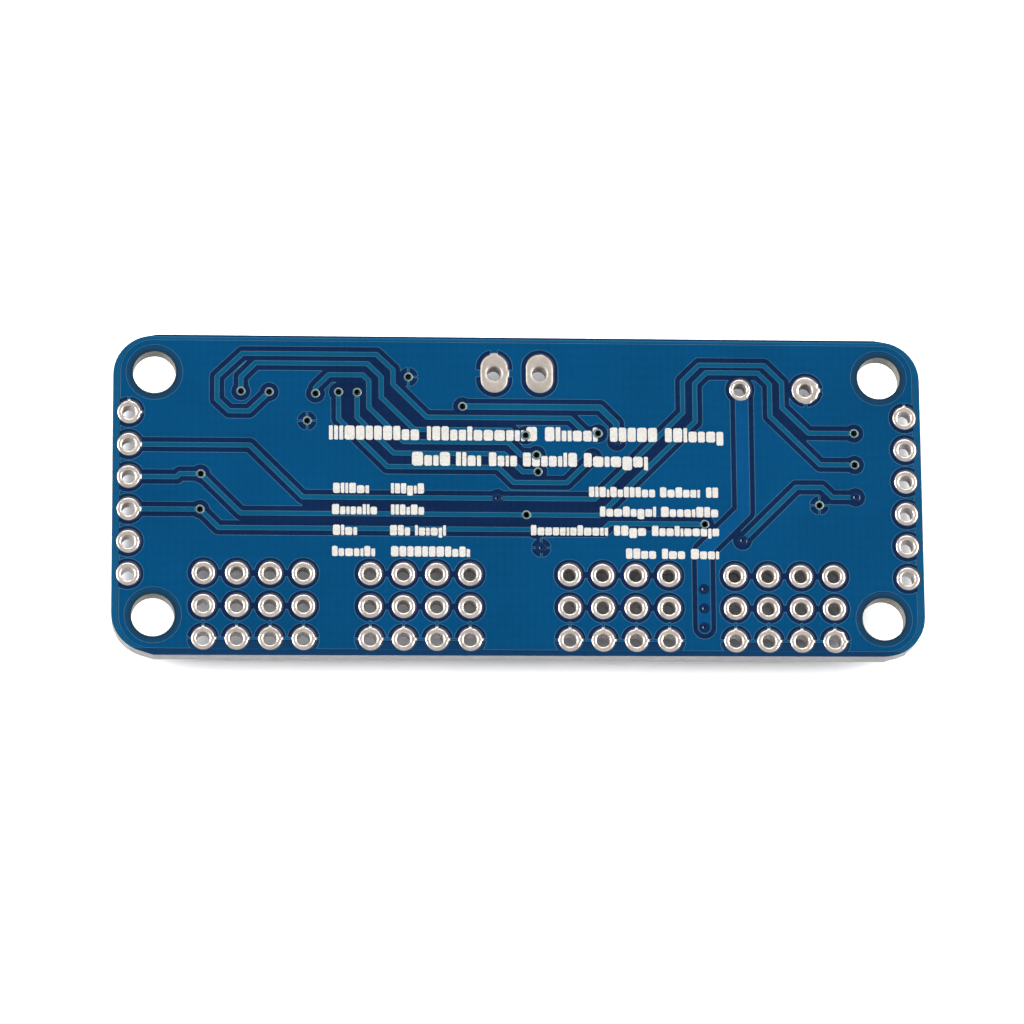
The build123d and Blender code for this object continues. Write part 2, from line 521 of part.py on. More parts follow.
ctracks += [
    (FINE, [(chip_x[13], cu_), (chip_x[13], 2.75), (0.59, 2.75), (1.47, 1.87)]),
    (FINE, [(chip_x[12], cu_), (chip_x[12], 5.20), (-2.20, 5.20), (-1.05, 4.05), (0.52, 4.05), (1.37, 3.20)]),
    (FINE, [(chip_x[11], cu_), (chip_x[11], 5.60), (-1.90, 5.60), (-1.05, 4.75), (0.55, 4.75)]),
    (FINE, [(chip_x[10], cu_), (chip_x[10], 6.00), (2.75, 6.00), (5.70, 3.05)]),
    (FINE, [(chip_x[9], cu_), (chip_x[9], 6.40), (4.30, 6.40), (5.75, 4.95), (6.13, 4.95)]),
    (FINE, [(chip_x[12], cl_), (chip_x[12], -2.90), (1.06, -2.90), (1.28, -2.68)]),
    (FINE, [(chip_x[11], cl_), (chip_x[11], -0.72), (-2.35, -0.72), (-1.90, -1.17), (0.02, -1.17), (0.38, -1.53), (0.55, -1.53)]),
    (FINE, [(chip_x[8], cl_), (chip_x[8], -0.40), (chip_x[8] + 0.16, -0.24), (-1.65, -0.24)]),
    (0.30, [(chip_x[13], cl_), (chip_x[13], -2.05), (-1.50, -2.05)]),
    (FINE, [(-21.32, 8.07), (-20.50, 7.25), (-20.50, 6.40)]),
    (FINE, [(-19.15, 8.03), (-19.70, 7.48), (-19.70, 6.40)]),
    (FINE, [(JUMP_X[2], JUMP_Y[1]), (JUMP_X[2], 7.00), (-18.90, 6.40)]),
    (FINE, [(-15.60, 7.93), (-14.80, 7.13), (-14.80, 6.40)]),
    (FINE, [(-13.83, 8.07), (-14.00, 7.90), (-14.00, 6.40)]),
    (FINE, [(-12.40, 8.05), (-13.20, 7.25), (-13.20, 6.40)]),
    (FINE, [(-21.32, 8.07), (JUMP_X[0], 9.05), (JUMP_X[0], JUMP_Y[1])]),
    (FINE, [(-19.15, 8.03), (JUMP_X[1], 9.18), (JUMP_X[1], JUMP_Y[1])]),
    (FINE, [(-15.60, 7.93), (JUMP_X[3], 8.63), (JUMP_X[3], JUMP_Y[1])]),
    (FINE, [(-13.83, 8.07), (JUMP_X[4], 8.54), (JUMP_X[4], JUMP_Y[1])]),
    (FINE, [(-12.40, 8.05), (JUMP_X[5], 8.15), (JUMP_X[5], JUMP_Y[1])]),
    (0.40, [(-27.40, 1.52), (-27.40, -2.60), (-28.61, -3.81), (-SIDE_X, SIDE_Y[4])]),
    (FINE, [(-24.36, 1.52), (-25.80, 1.52)]),
    (FINE, [(-24.41, -1.26), (-25.80, -1.26)]),
    (FINE, [(SIDE_X, SIDE_Y[1]), (28.39, 3.81), (27.10, 5.10), (25.93, 5.10)]),
    (FINE, [(SIDE_X, SIDE_Y[2]), (28.40, 1.27), (27.07, 2.60), (25.93, 2.60)]),
    (FINE, [(SIDE_X, SIDE_Y[3]), (28.42, -1.27), (27.12, 0.03), (25.95, 0.03)]),
    (0.40, [(SIDE_X, SIDE_Y[4]), (25.60, -3.81), (24.30, -2.51), (24.30, 1.90), (23.30, 2.90), (22.40, 2.90)]),
    (FINE, [(14.26, -2.17), (15.53, -3.44), (17.14, -3.44)]),
    (FINE, [(20.75, 2.90), (20.20, 3.45), (20.20, 4.15), (20.75, 4.70)]),
    (FINE, [(dx0 + 5.00, dy0 - 2.28), (dx0 + 5.00, 4.85), (14.40, 4.20)]),
    (0.30, [(JUMP_X[0], JUMP_Y[0]), (JUMP_X[0], 11.75), (JUMP_X[5], 11.75), (JUMP_X[5], JUMP_Y[0])]),
    (0.30, [(JUMP_X[1], JUMP_Y[0]), (JUMP_X[1], 11.62)]), (0.30, [(JUMP_X[2], JUMP_Y[0]), (JUMP_X[2], 11.62)]),
    (0.30, [(JUMP_X[3], JUMP_Y[0]), (JUMP_X[3], 11.62)]), (0.30, [(JUMP_X[4], JUMP_Y[0]), (JUMP_X[4], 11.62)]),
]
BUS = [
    (2.30, [(SERVO_X[0], ROW_POW), (SERVO_X[-1], ROW_POW)]),
    (1.40, [(14.12, -7.27), (14.12, -10.26)]),
    (1.10, [(SERVO_X[0], ROW_POW), (-25.70, -7.20), (-26.55, -6.35), (-SIDE_X, SIDE_Y[5])]),
    (1.10, [(SERVO_X[-1], ROW_POW), (25.70, -7.20), (26.55, -6.35), (SIDE_X, SIDE_Y[5])]),
]
INPUT = [rect(TERM_X[1] - 0.80, TERM_Y - 1.30, TAB_PAD[0] + 0.60, TERM_Y + 1.30)]
OUTPUT = [rect(LEAD_PADS[1][0], LEAD_PADS[1][1], CAP_PLUS[0] + 0.80, LEAD_PADS[1][3]),
          rect(CAP_PLUS[0] - 0.80, CAP_PLUS[1], CAP_PLUS[0] + 0.80, LEAD_PADS[1][3])]

pads2 = pad_discs()
vias2 = via_discs()
bus_sk = Sketch()
for w, p in BUS:
    bus_sk += strip(p, w)
POW_PINS = [(x, ROW_POW) for x in SERVO_X] + [(-SIDE_X, SIDE_Y[5]), (SIDE_X, SIDE_Y[5])]
bus_cut = bus_sk - [disc(x, y, PIN_PAD_R + 0.22) for x, y in ALL_PINS if (x, y) not in POW_PINS] \
    - [disc(x, y, PIN_PAD_R) for x, y in POW_PINS] - [disc(x, y, VIA_PAD_R) for x, y, k, n in VIAS if n == "pow"]
save("supply_bus_component_side", [s for f in bus_cut.faces() if f.area > 0.05 for s in prism(f, ZB - CU, ZB)])
in_sk = (Sketch() + INPUT) - [oval(TERM_X[1], TERM_Y, TERM_W, TERM_H)] - [rect(*TAB_PAD)]
out_sk = (Sketch() + OUTPUT) - [disc(*CAP_PLUS, CAP_PLUS_R)] - [rect(*LEAD_PADS[1])]
save("supply_input_copper", [s for f in in_sk.faces() for s in prism(f, ZB - CU, ZB)])
save("supply_output_copper", [s for f in out_sk.faces() for s in prism(f, ZB - CU, ZB)])

ct_faces = []
for w, p in ctracks:
    ct_faces.append(strip(p, w))
ct_sk = Sketch()
for t in ct_faces:
    ct_sk += t
ct_cut = ct_sk - pads2 - vias2 - lands
ct_final = [f for f in ct_cut.faces() if f.area > 0.004]
save("signal_tracks_component_side", [s for f in ct_final for s in prism(f, ZB - CU, ZB)])

GND_LANDS = [rect(ax + dx - 0.22, ay - 1.15, ax + dx + 0.22, ay - 0.50) for ax, ay in ARRAYS_ADR for dx in arr_x]
cclear = [strip(p, w + 0.44) for w, p in ctracks] + [strip(p, w + 0.50) for w, p in BUS]
cclear += [disc(x, y, PIN_PAD_R + 0.25) for x, y in ALL_PINS]
cclear += [oval(x, TERM_Y, TERM_W + 0.60, TERM_H + 0.60) for x in TERM_X]
cclear += [disc(*CAP_PLUS, CAP_PLUS_R + 0.25), disc(*CAP_MINUS, CAP_MINUS_R + 0.30)]
cclear += [disc(x, y, VIA_PAD_R + 0.20) for x, y, k, n in VIAS if n != "gnd"]
cclear += [disc(sx * MOUNT_X, sy * MOUNT_Y, 2.15) for sx in (-1, 1) for sy in (-1, 1)]
cclear += [rect(TERM_X[1] - 1.05, TERM_Y - 1.55, TAB_PAD[0] + 0.60, TERM_Y + 1.55)]
cclear += [rect(LEAD_PADS[1][0], LEAD_PADS[1][1] - 0.25, CAP_PLUS[0] + 1.05, LEAD_PADS[1][3] + 0.25),
           rect(CAP_PLUS[0] - 1.05, CAP_PLUS[1], CAP_PLUS[0] + 1.05, LEAD_PADS[1][3])]
for l in lands:
    bb = l.bounding_box()
    cclear.append(rect(bb.min.X - 0.22, bb.min.Y - 0.22, bb.max.X + 0.22, bb.max.Y + 0.22))
cclear += [rect(a - 0.2, y - 0.30, b + 0.2, y + 0.30) for a, b in groups for y in (ROW_SIG,)]
cclear += [rect(a - 0.30, ROW_GND - 1.10, b + 0.30, ROW_GND - 0.24) for a, b in groups]
cpour = pour_area - cclear
csp = []
for x, y in GND_PINS:
    for k in range(4):
        if y < -11 and k == 3:
            continue
        a = math.radians(90 * k)
        ex, ey = math.cos(a) * 1.35, math.sin(a) * 1.35
        if abs(x) > 29 and math.cos(a) * x > 1:
            ex *= 0.84
        csp.append(rect(x - abs(math.sin(a)) * 0.2, y - abs(math.cos(a)) * 0.2,
                        x + ex + abs(math.sin(a)) * 0.2, y + ey + abs(math.cos(a)) * 0.2))
csp += [rect(TERM_X[0] - 1.55, TERM_Y - 0.3, TERM_X[0], TERM_Y + 0.3), rect(TERM_X[0] - 0.3, TERM_Y, TERM_X[0] + 0.3, TERM_Y + 2.1)]
csp += [rect(cx - 1.60, cy - 0.25, cx + 1.60, cy + 0.25), rect(cx - 0.25, cy - 1.60, cx + 0.25, cy + 1.60)]
for ax, ay in ARRAYS_ADR:
    for dx in arr_x:
        csp.append(rect(ax + dx - 0.10, ay - 1.60, ax + dx + 0.10, ay - 1.00))
csp += [rect(CAPS[0][0][0] + 0.60, CAPS[0][0][1] - 0.10, CAPS[0][0][0] + 1.90, CAPS[0][0][1] + 0.10),
        rect(CAPS[1][0][0] - 1.80, CAPS[1][0][1] - 0.15, CAPS[1][0][0] - 0.90, CAPS[1][0][1] + 0.15),
        rect(RESISTORS[3][0] - 1.80, RESISTORS[3][1] - 0.10, RESISTORS[3][0] - 0.90, RESISTORS[3][1] + 0.10),
        rect(LED[0] + 1.00, LED[1] - 0.12, LED[0] + 1.95, LED[1] + 0.12)]
cpour = (cpour + csp) & pour_area
cpour = cpour - pads2 - vias2 - lands
cpour_faces = [f for f in cpour.faces() if f.area > 0.25]
print("component pour pieces", len(cpour.faces()), "kept", len(cpour_faces))
save("ground_pour_component_side", [s for f in cpour_faces for s in prism(f, ZB - CU, ZB)])

smd_pads = []
for l in lands:
    smd_pads += prism(l, ZB - SEAT, ZB)
save("surface_pads", smd_pads)

# ------------------------------------------------------------------ component-side lacquer
c_open = [disc(x - mx, y + my, PIN_PAD_R + 0.08) for x, y in ALL_PINS]
c_open += [oval(x, TERM_Y, TERM_W + 0.16, TERM_H + 0.16) for x in TERM_X]
c_open += [disc(*CAP_PLUS, CAP_PLUS_R + 0.08), disc(*CAP_MINUS, CAP_MINUS_R + 0.08)]
c_open += [disc(x, y, VIA_PAD_R - 0.02) for x, y, k, n in VIAS if k == "open"]
chip_fields = []
for l in lands:
    bb = l.bounding_box()
    chip_fields.append(rect(bb.min.X - 0.05, bb.min.Y - 0.05, bb.max.X + 0.05, bb.max.Y + 0.05))
cfilm = outline(0.0) - c_open - mount_rings - chip_fields
csheet = prism(cfilm, ZB - MASK, ZB)[0]
ccut = []
for f in list(cpour_faces) + list(ct_final) + [g for g in bus_cut.faces() if g.area > 0.05] + list(in_sk.faces()) + list(out_sk.faces()):
    ccut += prism(f, ZB - CU, ZB + 0.05)
for f in pads2:
    ccut += prism(f, ZB - MASK - 0.10, ZB + 0.05)
for x, y, k, n in VIAS:
    ccut += prism(disc(x, y, VIA_PAD_R), ZB - CU, ZB + 0.05)
csheet = csheet - ccut
save("solder_mask_component_side", [s for s in csheet.solids() if s.volume > 1e-4])

# ------------------------------------------------------------------ component-side ink
cink = []
T_INK = 0.15


def frame(x0, y0, x1, y1, t=T_INK):
    return rect(x0, y0, x1, y1) - rect(x0 + t, y0 + t, x1 - t, y1 - t)


for a, b in groups:
    cink.append(rect(a - 1.27, ROW_SIG + 1.08, b + 1.27, ROW_SIG + 1.21))
cink.append(frame(CHIP[0] - 5.05, CHIP[1] - 2.00, CHIP[0] - 4.90, CHIP[1] + 2.00, 0.07))
cink.append(disc(CHIP[0] + 5.25, CHIP[1] + 2.9, 0.22))
cink.append(rect(TERM_X[0] - 1.90, TERM_Y - 2.25, TERM_X[1] + 1.90, TERM_Y - 2.10))
cink.append(rect(TERM_X[0] - 0.45, TERM_Y + 2.32, TERM_X[0] + 0.45, TERM_Y + 2.48))
cink.append(rect(TERM_X[1] - 0.45, TERM_Y + 2.32, TERM_X[1] + 0.45, TERM_Y + 2.48))
cink.append(rect(TERM_X[1] - 0.08, TERM_Y + 1.95, TERM_X[1] + 0.08, TERM_Y + 2.85))
cap_c = ((CAP_PLUS[0] + CAP_MINUS[0]) / 2, (CAP_PLUS[1] + CAP_MINUS[1]) / 2)
ring = disc(*cap_c, 4.00) - disc(*cap_c, 3.85)
ring = ring & rect(cap_c[0] - 5, 4.4 + 1.2, cap_c[0] + 5, 12.20)
cink.append(ring)
cink.append(frame(DPAK[0] - 3.40, DPAK[1] - 3.50, DPAK[0] + 3.40, DPAK[1] - 3.35, 0.07))
for jx in JUMP_X:
    cink.append(frame(jx - JUMP_W / 2 - 0.22, JUMP_Y[1] - 0.68, jx + JUMP_W / 2 + 0.22, JUMP_Y[0] + 0.68, 0.12))
cink.append(rect(LED[0] + 1.62, LED[1] - 0.62, LED[0] + 1.74, LED[1] + 0.62))
cink_sk = Sketch()
for c in cink:
    cink_sk += c
cink_sk = cink_sk - [disc(x, y, VIA_PAD_R + 0.03) for x, y, k, n in VIAS] - c_open - chip_fields
save("printed_marks_component_side", [s for f in cink_sk.faces() if f.area > 0.01 for s in prism(f, ZB - MASK - INK, ZB - MASK)])

# ------------------------------------------------------------------ pulse-width chip
z_body = SEAT + CHIP_OFF


def tapered(x, y, w, h, d0, d1, draft=0.12, waist=0.5):
    """A moulded package: widest at its parting line, drafted above and below."""
    dm = d0 + (d1 - d0) * waist
    def wire(dw, d):
        return Pos(x, y, ZB - d) * Rectangle(w - dw, h - dw)
    a = Solid.make_loft([wire(2 * draft, d0).wires()[0], wire(0, dm).wires()[0]], True)
    b = Solid.make_loft([wire(0, dm).wires()[0], wire(2 * draft, d1).wires()[0]], True)
    return a + b


chip_body = tapered(*CHIP, CHIP_L, CHIP_W, z_body, z_body + CHIP_T)
pin1 = Pos(CHIP[0] + CHIP_L / 2 - 0.85, CHIP[1] + CHIP_W / 2 - 0.85, ZB - z_body - CHIP_T) * Cylinder(0.32, 0.10)
chip_body = chip_body - pin1
mid = z_body + CHIP_T * 0.5


def gull(x, y_in, y_out, s, width, d_mid, thick, foot, d_foot=SEAT):
    """One gull-wing lead: shoulder, bend, foot flat on its pad."""
    t = thick
    k = y_out - foot
    pts = [(y_in, d_mid - t / 2), (y_in, d_mid + t / 2), (k - 0.14 + t * 0.2, d_mid + t / 2),
           (k + 0.06 + t * 0.6, d_foot + t), (y_out, d_foot + t), (y_out, d_foot), (k + 0.02, d_foot), (k - 0.20, d_mid - t / 2)]
    f = Face(Wire.make_polygon([Vector(x - width / 2, s * py, ZB - d) for py, d in pts], close=True))
    return Solid.extrude(f, Vector(width, 0, 0))


chip_leads = []
for x in chip_x:
    for s in (-1, 1):
        g = gull(x, CHIP_W / 2 - 0.30, CHIP_SPAN / 2, s, LEAD_W, mid, LEAD_T, 0.55)
        chip_leads.append(Pos(0, CHIP[1], 0) * g)
chip_body = chip_body - chip_leads
save("pwm_chip_body", [chip_body])
save("pwm_chip_leads", chip_leads)

# ------------------------------------------------------------------ polarity-protection transistor
bx0, bx1 = dx0 - DPAK_BX / 2, dx0 + DPAK_BX / 2
tab_xy = [(bx0 + 4.20, dy0 - 2.65), (bx0 + 4.20, dy0 + 2.65), (bx0 - 0.05, dy0 + 2.65), (bx0 - 0.05, dy0 + 2.50),
          (bx0 - 0.60, dy0 + 2.50), (bx0 - 1.01, dy0 + 2.09), (bx0 - 1.01, dy0 - 2.09), (bx0 - 0.60, dy0 - 2.50),
          (bx0 - 0.05, dy0 - 2.50), (bx0 - 0.05, dy0 - 2.65)]
tab = Solid.extrude(Face(Wire.make_polygon([Vector(px, py, ZB - SEAT - 0.50) for px, py in tab_xy], close=True)),
                    Vector(0, 0, 0.50))
mould = tapered(dx0, dy0, DPAK_BX, DPAK_BY, SEAT, SEAT + DPAK_H, 0.16, 0.34)
dleads = []
for s in (-1, 1):
    f = Face(Wire.make_polygon([Vector(px, dy0 + s * 2.28 - 0.38, ZB - d) for px, d in
                                [(bx1 - 0.40, 0.95), (bx1 - 0.40, 1.45), (bx1 + 0.95, 1.45), (bx1 + 1.55, SEAT + 0.50),
                                 (bx1 + 2.75, SEAT + 0.50), (bx1 + 2.75, SEAT), (bx1 + 1.25, SEAT), (bx1 + 0.70, 0.95)]], close=True))
    dleads.append(Solid.extrude(f, Vector(0, 0.76, 0)))
dleads.append(below(bx1 + 0.15, dy0, 1.10, 0.76, 0.95, 1.45))
mould = mould - tab - dleads
save("transistor_body", [mould])
save("transistor_tab", [tab])
save("transistor_leads", dleads)

# ------------------------------------------------------------------ resistor arrays and resistors
arr_bodies, arr_terms, arr_coats = [], [], []
for ax, ay in ARRAYS_SIG + ARRAYS_ADR:
    b = below(ax, ay, ARR_L, ARR_W, SEAT + 0.02, SEAT + 0.02 + ARR_T)
    notch = []
    for dx in (-0.8, 0.0, 0.8):
        for s in (-1, 1):
            notch.append(below(ax + dx, ay + s * (ARR_W / 2 - 0.06), 0.30, 0.14, 0.0, 1.0))
    b = b - notch
    t = []
    for dx in arr_x:
        for s in (-1, 1):
            cap_ = below(ax + dx, ay + s * (ARR_W / 2 - 0.13), 0.46, 0.30, SEAT, SEAT + 0.04 + ARR_T)
            t.append((cap_ - b).solids()[0])
    arr_terms += t
    arr_bodies.append(b)
    arr_coats.append(below(ax, ay, ARR_L - 0.20, ARR_W - 0.72, SEAT + 0.02 + ARR_T, SEAT + 0.045 + ARR_T))
save("resistor_array_bodies", arr_bodies)
save("resistor_array_terminals", arr_terms)
save("resistor_array_coats", arr_coats)

chip_bodies, chip_terms, chip_coats = [], [], []
for rx, ry in RESISTORS:
    b = below(rx, ry, RES_L - 0.04, RES_W, SEAT + 0.02, SEAT + 0.02 + RES_T)
    for s in (-1, 1):
        c = below(rx + s * (RES_L / 2 - 0.15), ry, 0.30, RES_W + 0.03, SEAT, SEAT + 0.04 + RES_T)
        chip_terms.append((c - b).solids()[0])
    chip_bodies.append(b)
    chip_coats.append(below(rx, ry, RES_L - 0.64, RES_W - 0.06, SEAT + 0.02 + RES_T, SEAT + 0.045 + RES_T))
save("resistor_bodies", chip_bodies)
save("resistor_terminals", chip_terms)
save("resistor_coats", chip_coats)

cap_bodies, cap_terms = [], []
for (c0, c1), L, W, T in CAPS:
    b = below(c0, c1, L - 0.04, W, SEAT + 0.02, SEAT + 0.02 + T)
    for s in (-1, 1):
        c = below(c0 + s * (L / 2 - 0.18), c1, 0.36, W + 0.04, SEAT, SEAT + 0.04 + T)
        cap_terms.append((c - b).solids()[0])
    cap_bodies.append(b)
save("ceramic_capacitor_bodies", cap_bodies)
save("ceramic_capacitor_terminals", cap_terms)

# ------------------------------------------------------------------ supply lamp
lb = below(*LED, LED_L - 0.06, LED_W, SEAT + 0.03, SEAT + 0.33)
lens = tapered(LED[0], LED[1], LED_L - 0.70, LED_W, SEAT + 0.33, SEAT + LED_T, 0.08, 0.05)
lt = []
for s in (-1, 1):
    c = below(LED[0] + s * (LED_L / 2 - 0.17), LED[1], 0.34, LED_W, SEAT, SEAT + 0.36)
    notch = Pos(LED[0] + s * LED_L / 2, LED[1], ZB - 0.3) * Cylinder(0.22, 1.2)
    lt.append((c - lb - notch).solids()[0])
    lb = lb - notch
save("lamp_base", [lb])
save("lamp_lens", [lens])
save("lamp_terminals", lt)

# ------------------------------------------------------------------ solder at the surface pads
def wedge(x, y, w, reach, height, dirx, diry):
    """A fillet of solder rising from the pad against an end face."""
    a = Vector(x, y, ZB - SEAT)
    d = Vector(dirx, diry, 0)
    n = Vector(-diry, dirx, 0)
    p = a - n * (w / 2)
    h0 = ZB - SEAT - height
    f = Face(Wire.make_polygon([p, Vector(p.X, p.Y, h0), Vector(p.X + d.X * reach * 0.35, p.Y + d.Y * reach * 0.35, h0 + height * 0.62),
                                p + d * reach], close=True))
    return Solid.extrude(f, n * w)


solder = []
for ax, ay in ARRAYS_SIG + ARRAYS_ADR:
    for dx in arr_x:
        for s in (-1, 1):
            solder.append(wedge(ax + dx, ay + s * (ARR_W / 2 + 0.02), 0.40, 0.30, 0.36, 0, s))
for rx, ry in RESISTORS:
    for s in (-1, 1):
        solder.append(wedge(rx + s * RES_L / 2, ry, 0.74, 0.36, 0.34, s, 0))
for (c0, c1), L, W, T in CAPS:
    for s in (-1, 1):
        solder.append(wedge(c0 + s * L / 2, c1, W, 0.36, 0.50, s, 0))
for x in chip_x:
    for s in (-1, 1):
        solder.append(wedge(x, CHIP[1] + s * CHIP_SPAN / 2, 0.28, 0.38, 0.12, 0, s))
for s in (-1, 1):
    solder.append(wedge(bx1 + 2.75, dy0 + s * 2.28, 0.90, 0.24, 0.35, 1, 0))
    solder.append(wedge(LED[0] + s * LED_L / 2, LED[1], 1.10, 0.36, 0.26, s, 0))
solder.append(wedge(bx0 - 1.01, dy0, 4.00, 0.09, 0.30, -1, 0))
save("solder_fillets", solder)
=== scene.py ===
import bpy
import bmesh
import math
import random
import numpy as np
from mathutils import Matrix, Vector
from mathutils.geometry import delaunay_2d_cdt


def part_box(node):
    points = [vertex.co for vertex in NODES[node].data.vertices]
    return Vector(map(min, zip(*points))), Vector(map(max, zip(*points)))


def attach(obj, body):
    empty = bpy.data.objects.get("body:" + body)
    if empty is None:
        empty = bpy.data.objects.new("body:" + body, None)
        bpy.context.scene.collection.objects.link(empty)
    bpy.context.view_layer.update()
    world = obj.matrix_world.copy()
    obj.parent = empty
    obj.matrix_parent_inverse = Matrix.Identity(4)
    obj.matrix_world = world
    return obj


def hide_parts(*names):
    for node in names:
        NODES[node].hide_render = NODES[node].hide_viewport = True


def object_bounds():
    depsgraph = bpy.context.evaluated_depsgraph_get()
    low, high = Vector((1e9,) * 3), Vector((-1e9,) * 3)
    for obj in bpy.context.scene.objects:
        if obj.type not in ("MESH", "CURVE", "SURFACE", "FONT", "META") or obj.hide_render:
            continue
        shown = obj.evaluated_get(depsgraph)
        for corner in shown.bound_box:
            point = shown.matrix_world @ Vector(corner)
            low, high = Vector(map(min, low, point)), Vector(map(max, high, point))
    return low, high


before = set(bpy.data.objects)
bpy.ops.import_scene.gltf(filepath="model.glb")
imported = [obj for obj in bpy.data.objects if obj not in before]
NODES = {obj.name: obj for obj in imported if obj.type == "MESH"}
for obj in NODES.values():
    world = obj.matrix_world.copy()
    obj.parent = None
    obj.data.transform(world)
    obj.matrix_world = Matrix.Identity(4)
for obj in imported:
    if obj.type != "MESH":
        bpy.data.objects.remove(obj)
cad_lo, cad_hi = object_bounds()
MM = 0.001
rng = random.Random(4711)

bpy.context.scene.view_settings.view_transform = "Standard"
bpy.context.scene.view_settings.look = "None"
bpy.context.scene.view_settings.exposure = 0.0

# ------------------------------------------------------------------ planes of the board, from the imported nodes
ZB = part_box("laminate")[0].z / MM          # component-side laminate plane
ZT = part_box("laminate")[1].z / MM          # solder-side laminate plane
MASK_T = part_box("solder_mask_solder_side")[1].z / MM - ZT
PAD_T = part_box("servo_signal_pads")[1].z / MM - ZT
INK_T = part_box("printed_marks_solder_side")[1].z / MM - ZT

# ------------------------------------------------------------------ camera, lights, floor
cam_data = bpy.data.cameras.new("camera")
cam = bpy.data.objects.new("camera", cam_data)
bpy.context.scene.collection.objects.link(cam)
cam_data.sensor_width = 36.0
cam_data.lens = 191.5
cam_data.clip_start, cam_data.clip_end = 0.01, 10.0
right = Vector((0.9978142, -0.0081993, 0.0655711))
up = Vector((-0.0071137, 0.9731785, 0.2299414))
back = Vector((-0.0656978, -0.2299052, 0.9709930))
rot = Matrix((right, up, back)).transposed()
cam.matrix_world = Matrix.Translation(Vector((-27.948, -97.186, 404.918 + ZT + MASK_T)) * MM) @ rot.to_4x4()
bpy.context.scene.camera = cam


def area(name, loc, size, size_y, power, color=(1, 1, 1)):
    d = bpy.data.lights.new(name, "AREA")
    d.shape, d.size, d.size_y, d.energy, d.color = "RECTANGLE", size, size_y, power, color
    o = bpy.data.objects.new(name, d)
    bpy.context.scene.collection.objects.link(o)
    o.location = loc
    o.rotation_mode = "QUATERNION"
    o.rotation_quaternion = (-Vector(loc)).to_track_quat("-Z", "Y")
    return o


area("soft_left", (-0.62, 0.10, 0.50), 0.55, 0.50, 12.0)
area("soft_right", (0.62, 0.10, 0.50), 0.55, 0.50, 12.0)
area("soft_rear", (0.0, 0.75, 0.42), 0.70, 0.30, 4.0)

world = bpy.data.worlds.new("studio")
bpy.context.scene.world = world
world.use_nodes = True
wt = world.node_tree
wt.nodes.clear()
w_out = wt.nodes.new("ShaderNodeOutputWorld")
w_bg = wt.nodes.new("ShaderNodeBackground")
w_tc = wt.nodes.new("ShaderNodeTexCoord")
w_sep = wt.nodes.new("ShaderNodeSeparateXYZ")
w_ramp = wt.nodes.new("ShaderNodeValToRGB")
w_ramp.color_ramp.elements[0].position = 0.0
w_ramp.color_ramp.elements[0].color = (0.95, 0.96, 0.97, 1)
w_ramp.color_ramp.elements[1].position = 0.93
w_ramp.color_ramp.elements[1].color = (0.03, 0.03, 0.03, 1)
e = w_ramp.color_ramp.elements.new(0.30)
e.color = (0.80, 0.81, 0.82, 1)
e = w_ramp.color_ramp.elements.new(0.72)
e.color = (0.55, 0.55, 0.56, 1)
wt.links.new(w_tc.outputs["Generated"], w_sep.inputs[0])
wt.links.new(w_sep.outputs["Z"], w_ramp.inputs[0])
wt.links.new(w_ramp.outputs[0], w_bg.inputs[0])
w_bg.inputs[1].default_value = 1.0
wt.links.new(w_bg.outputs[0], w_out.inputs[0])


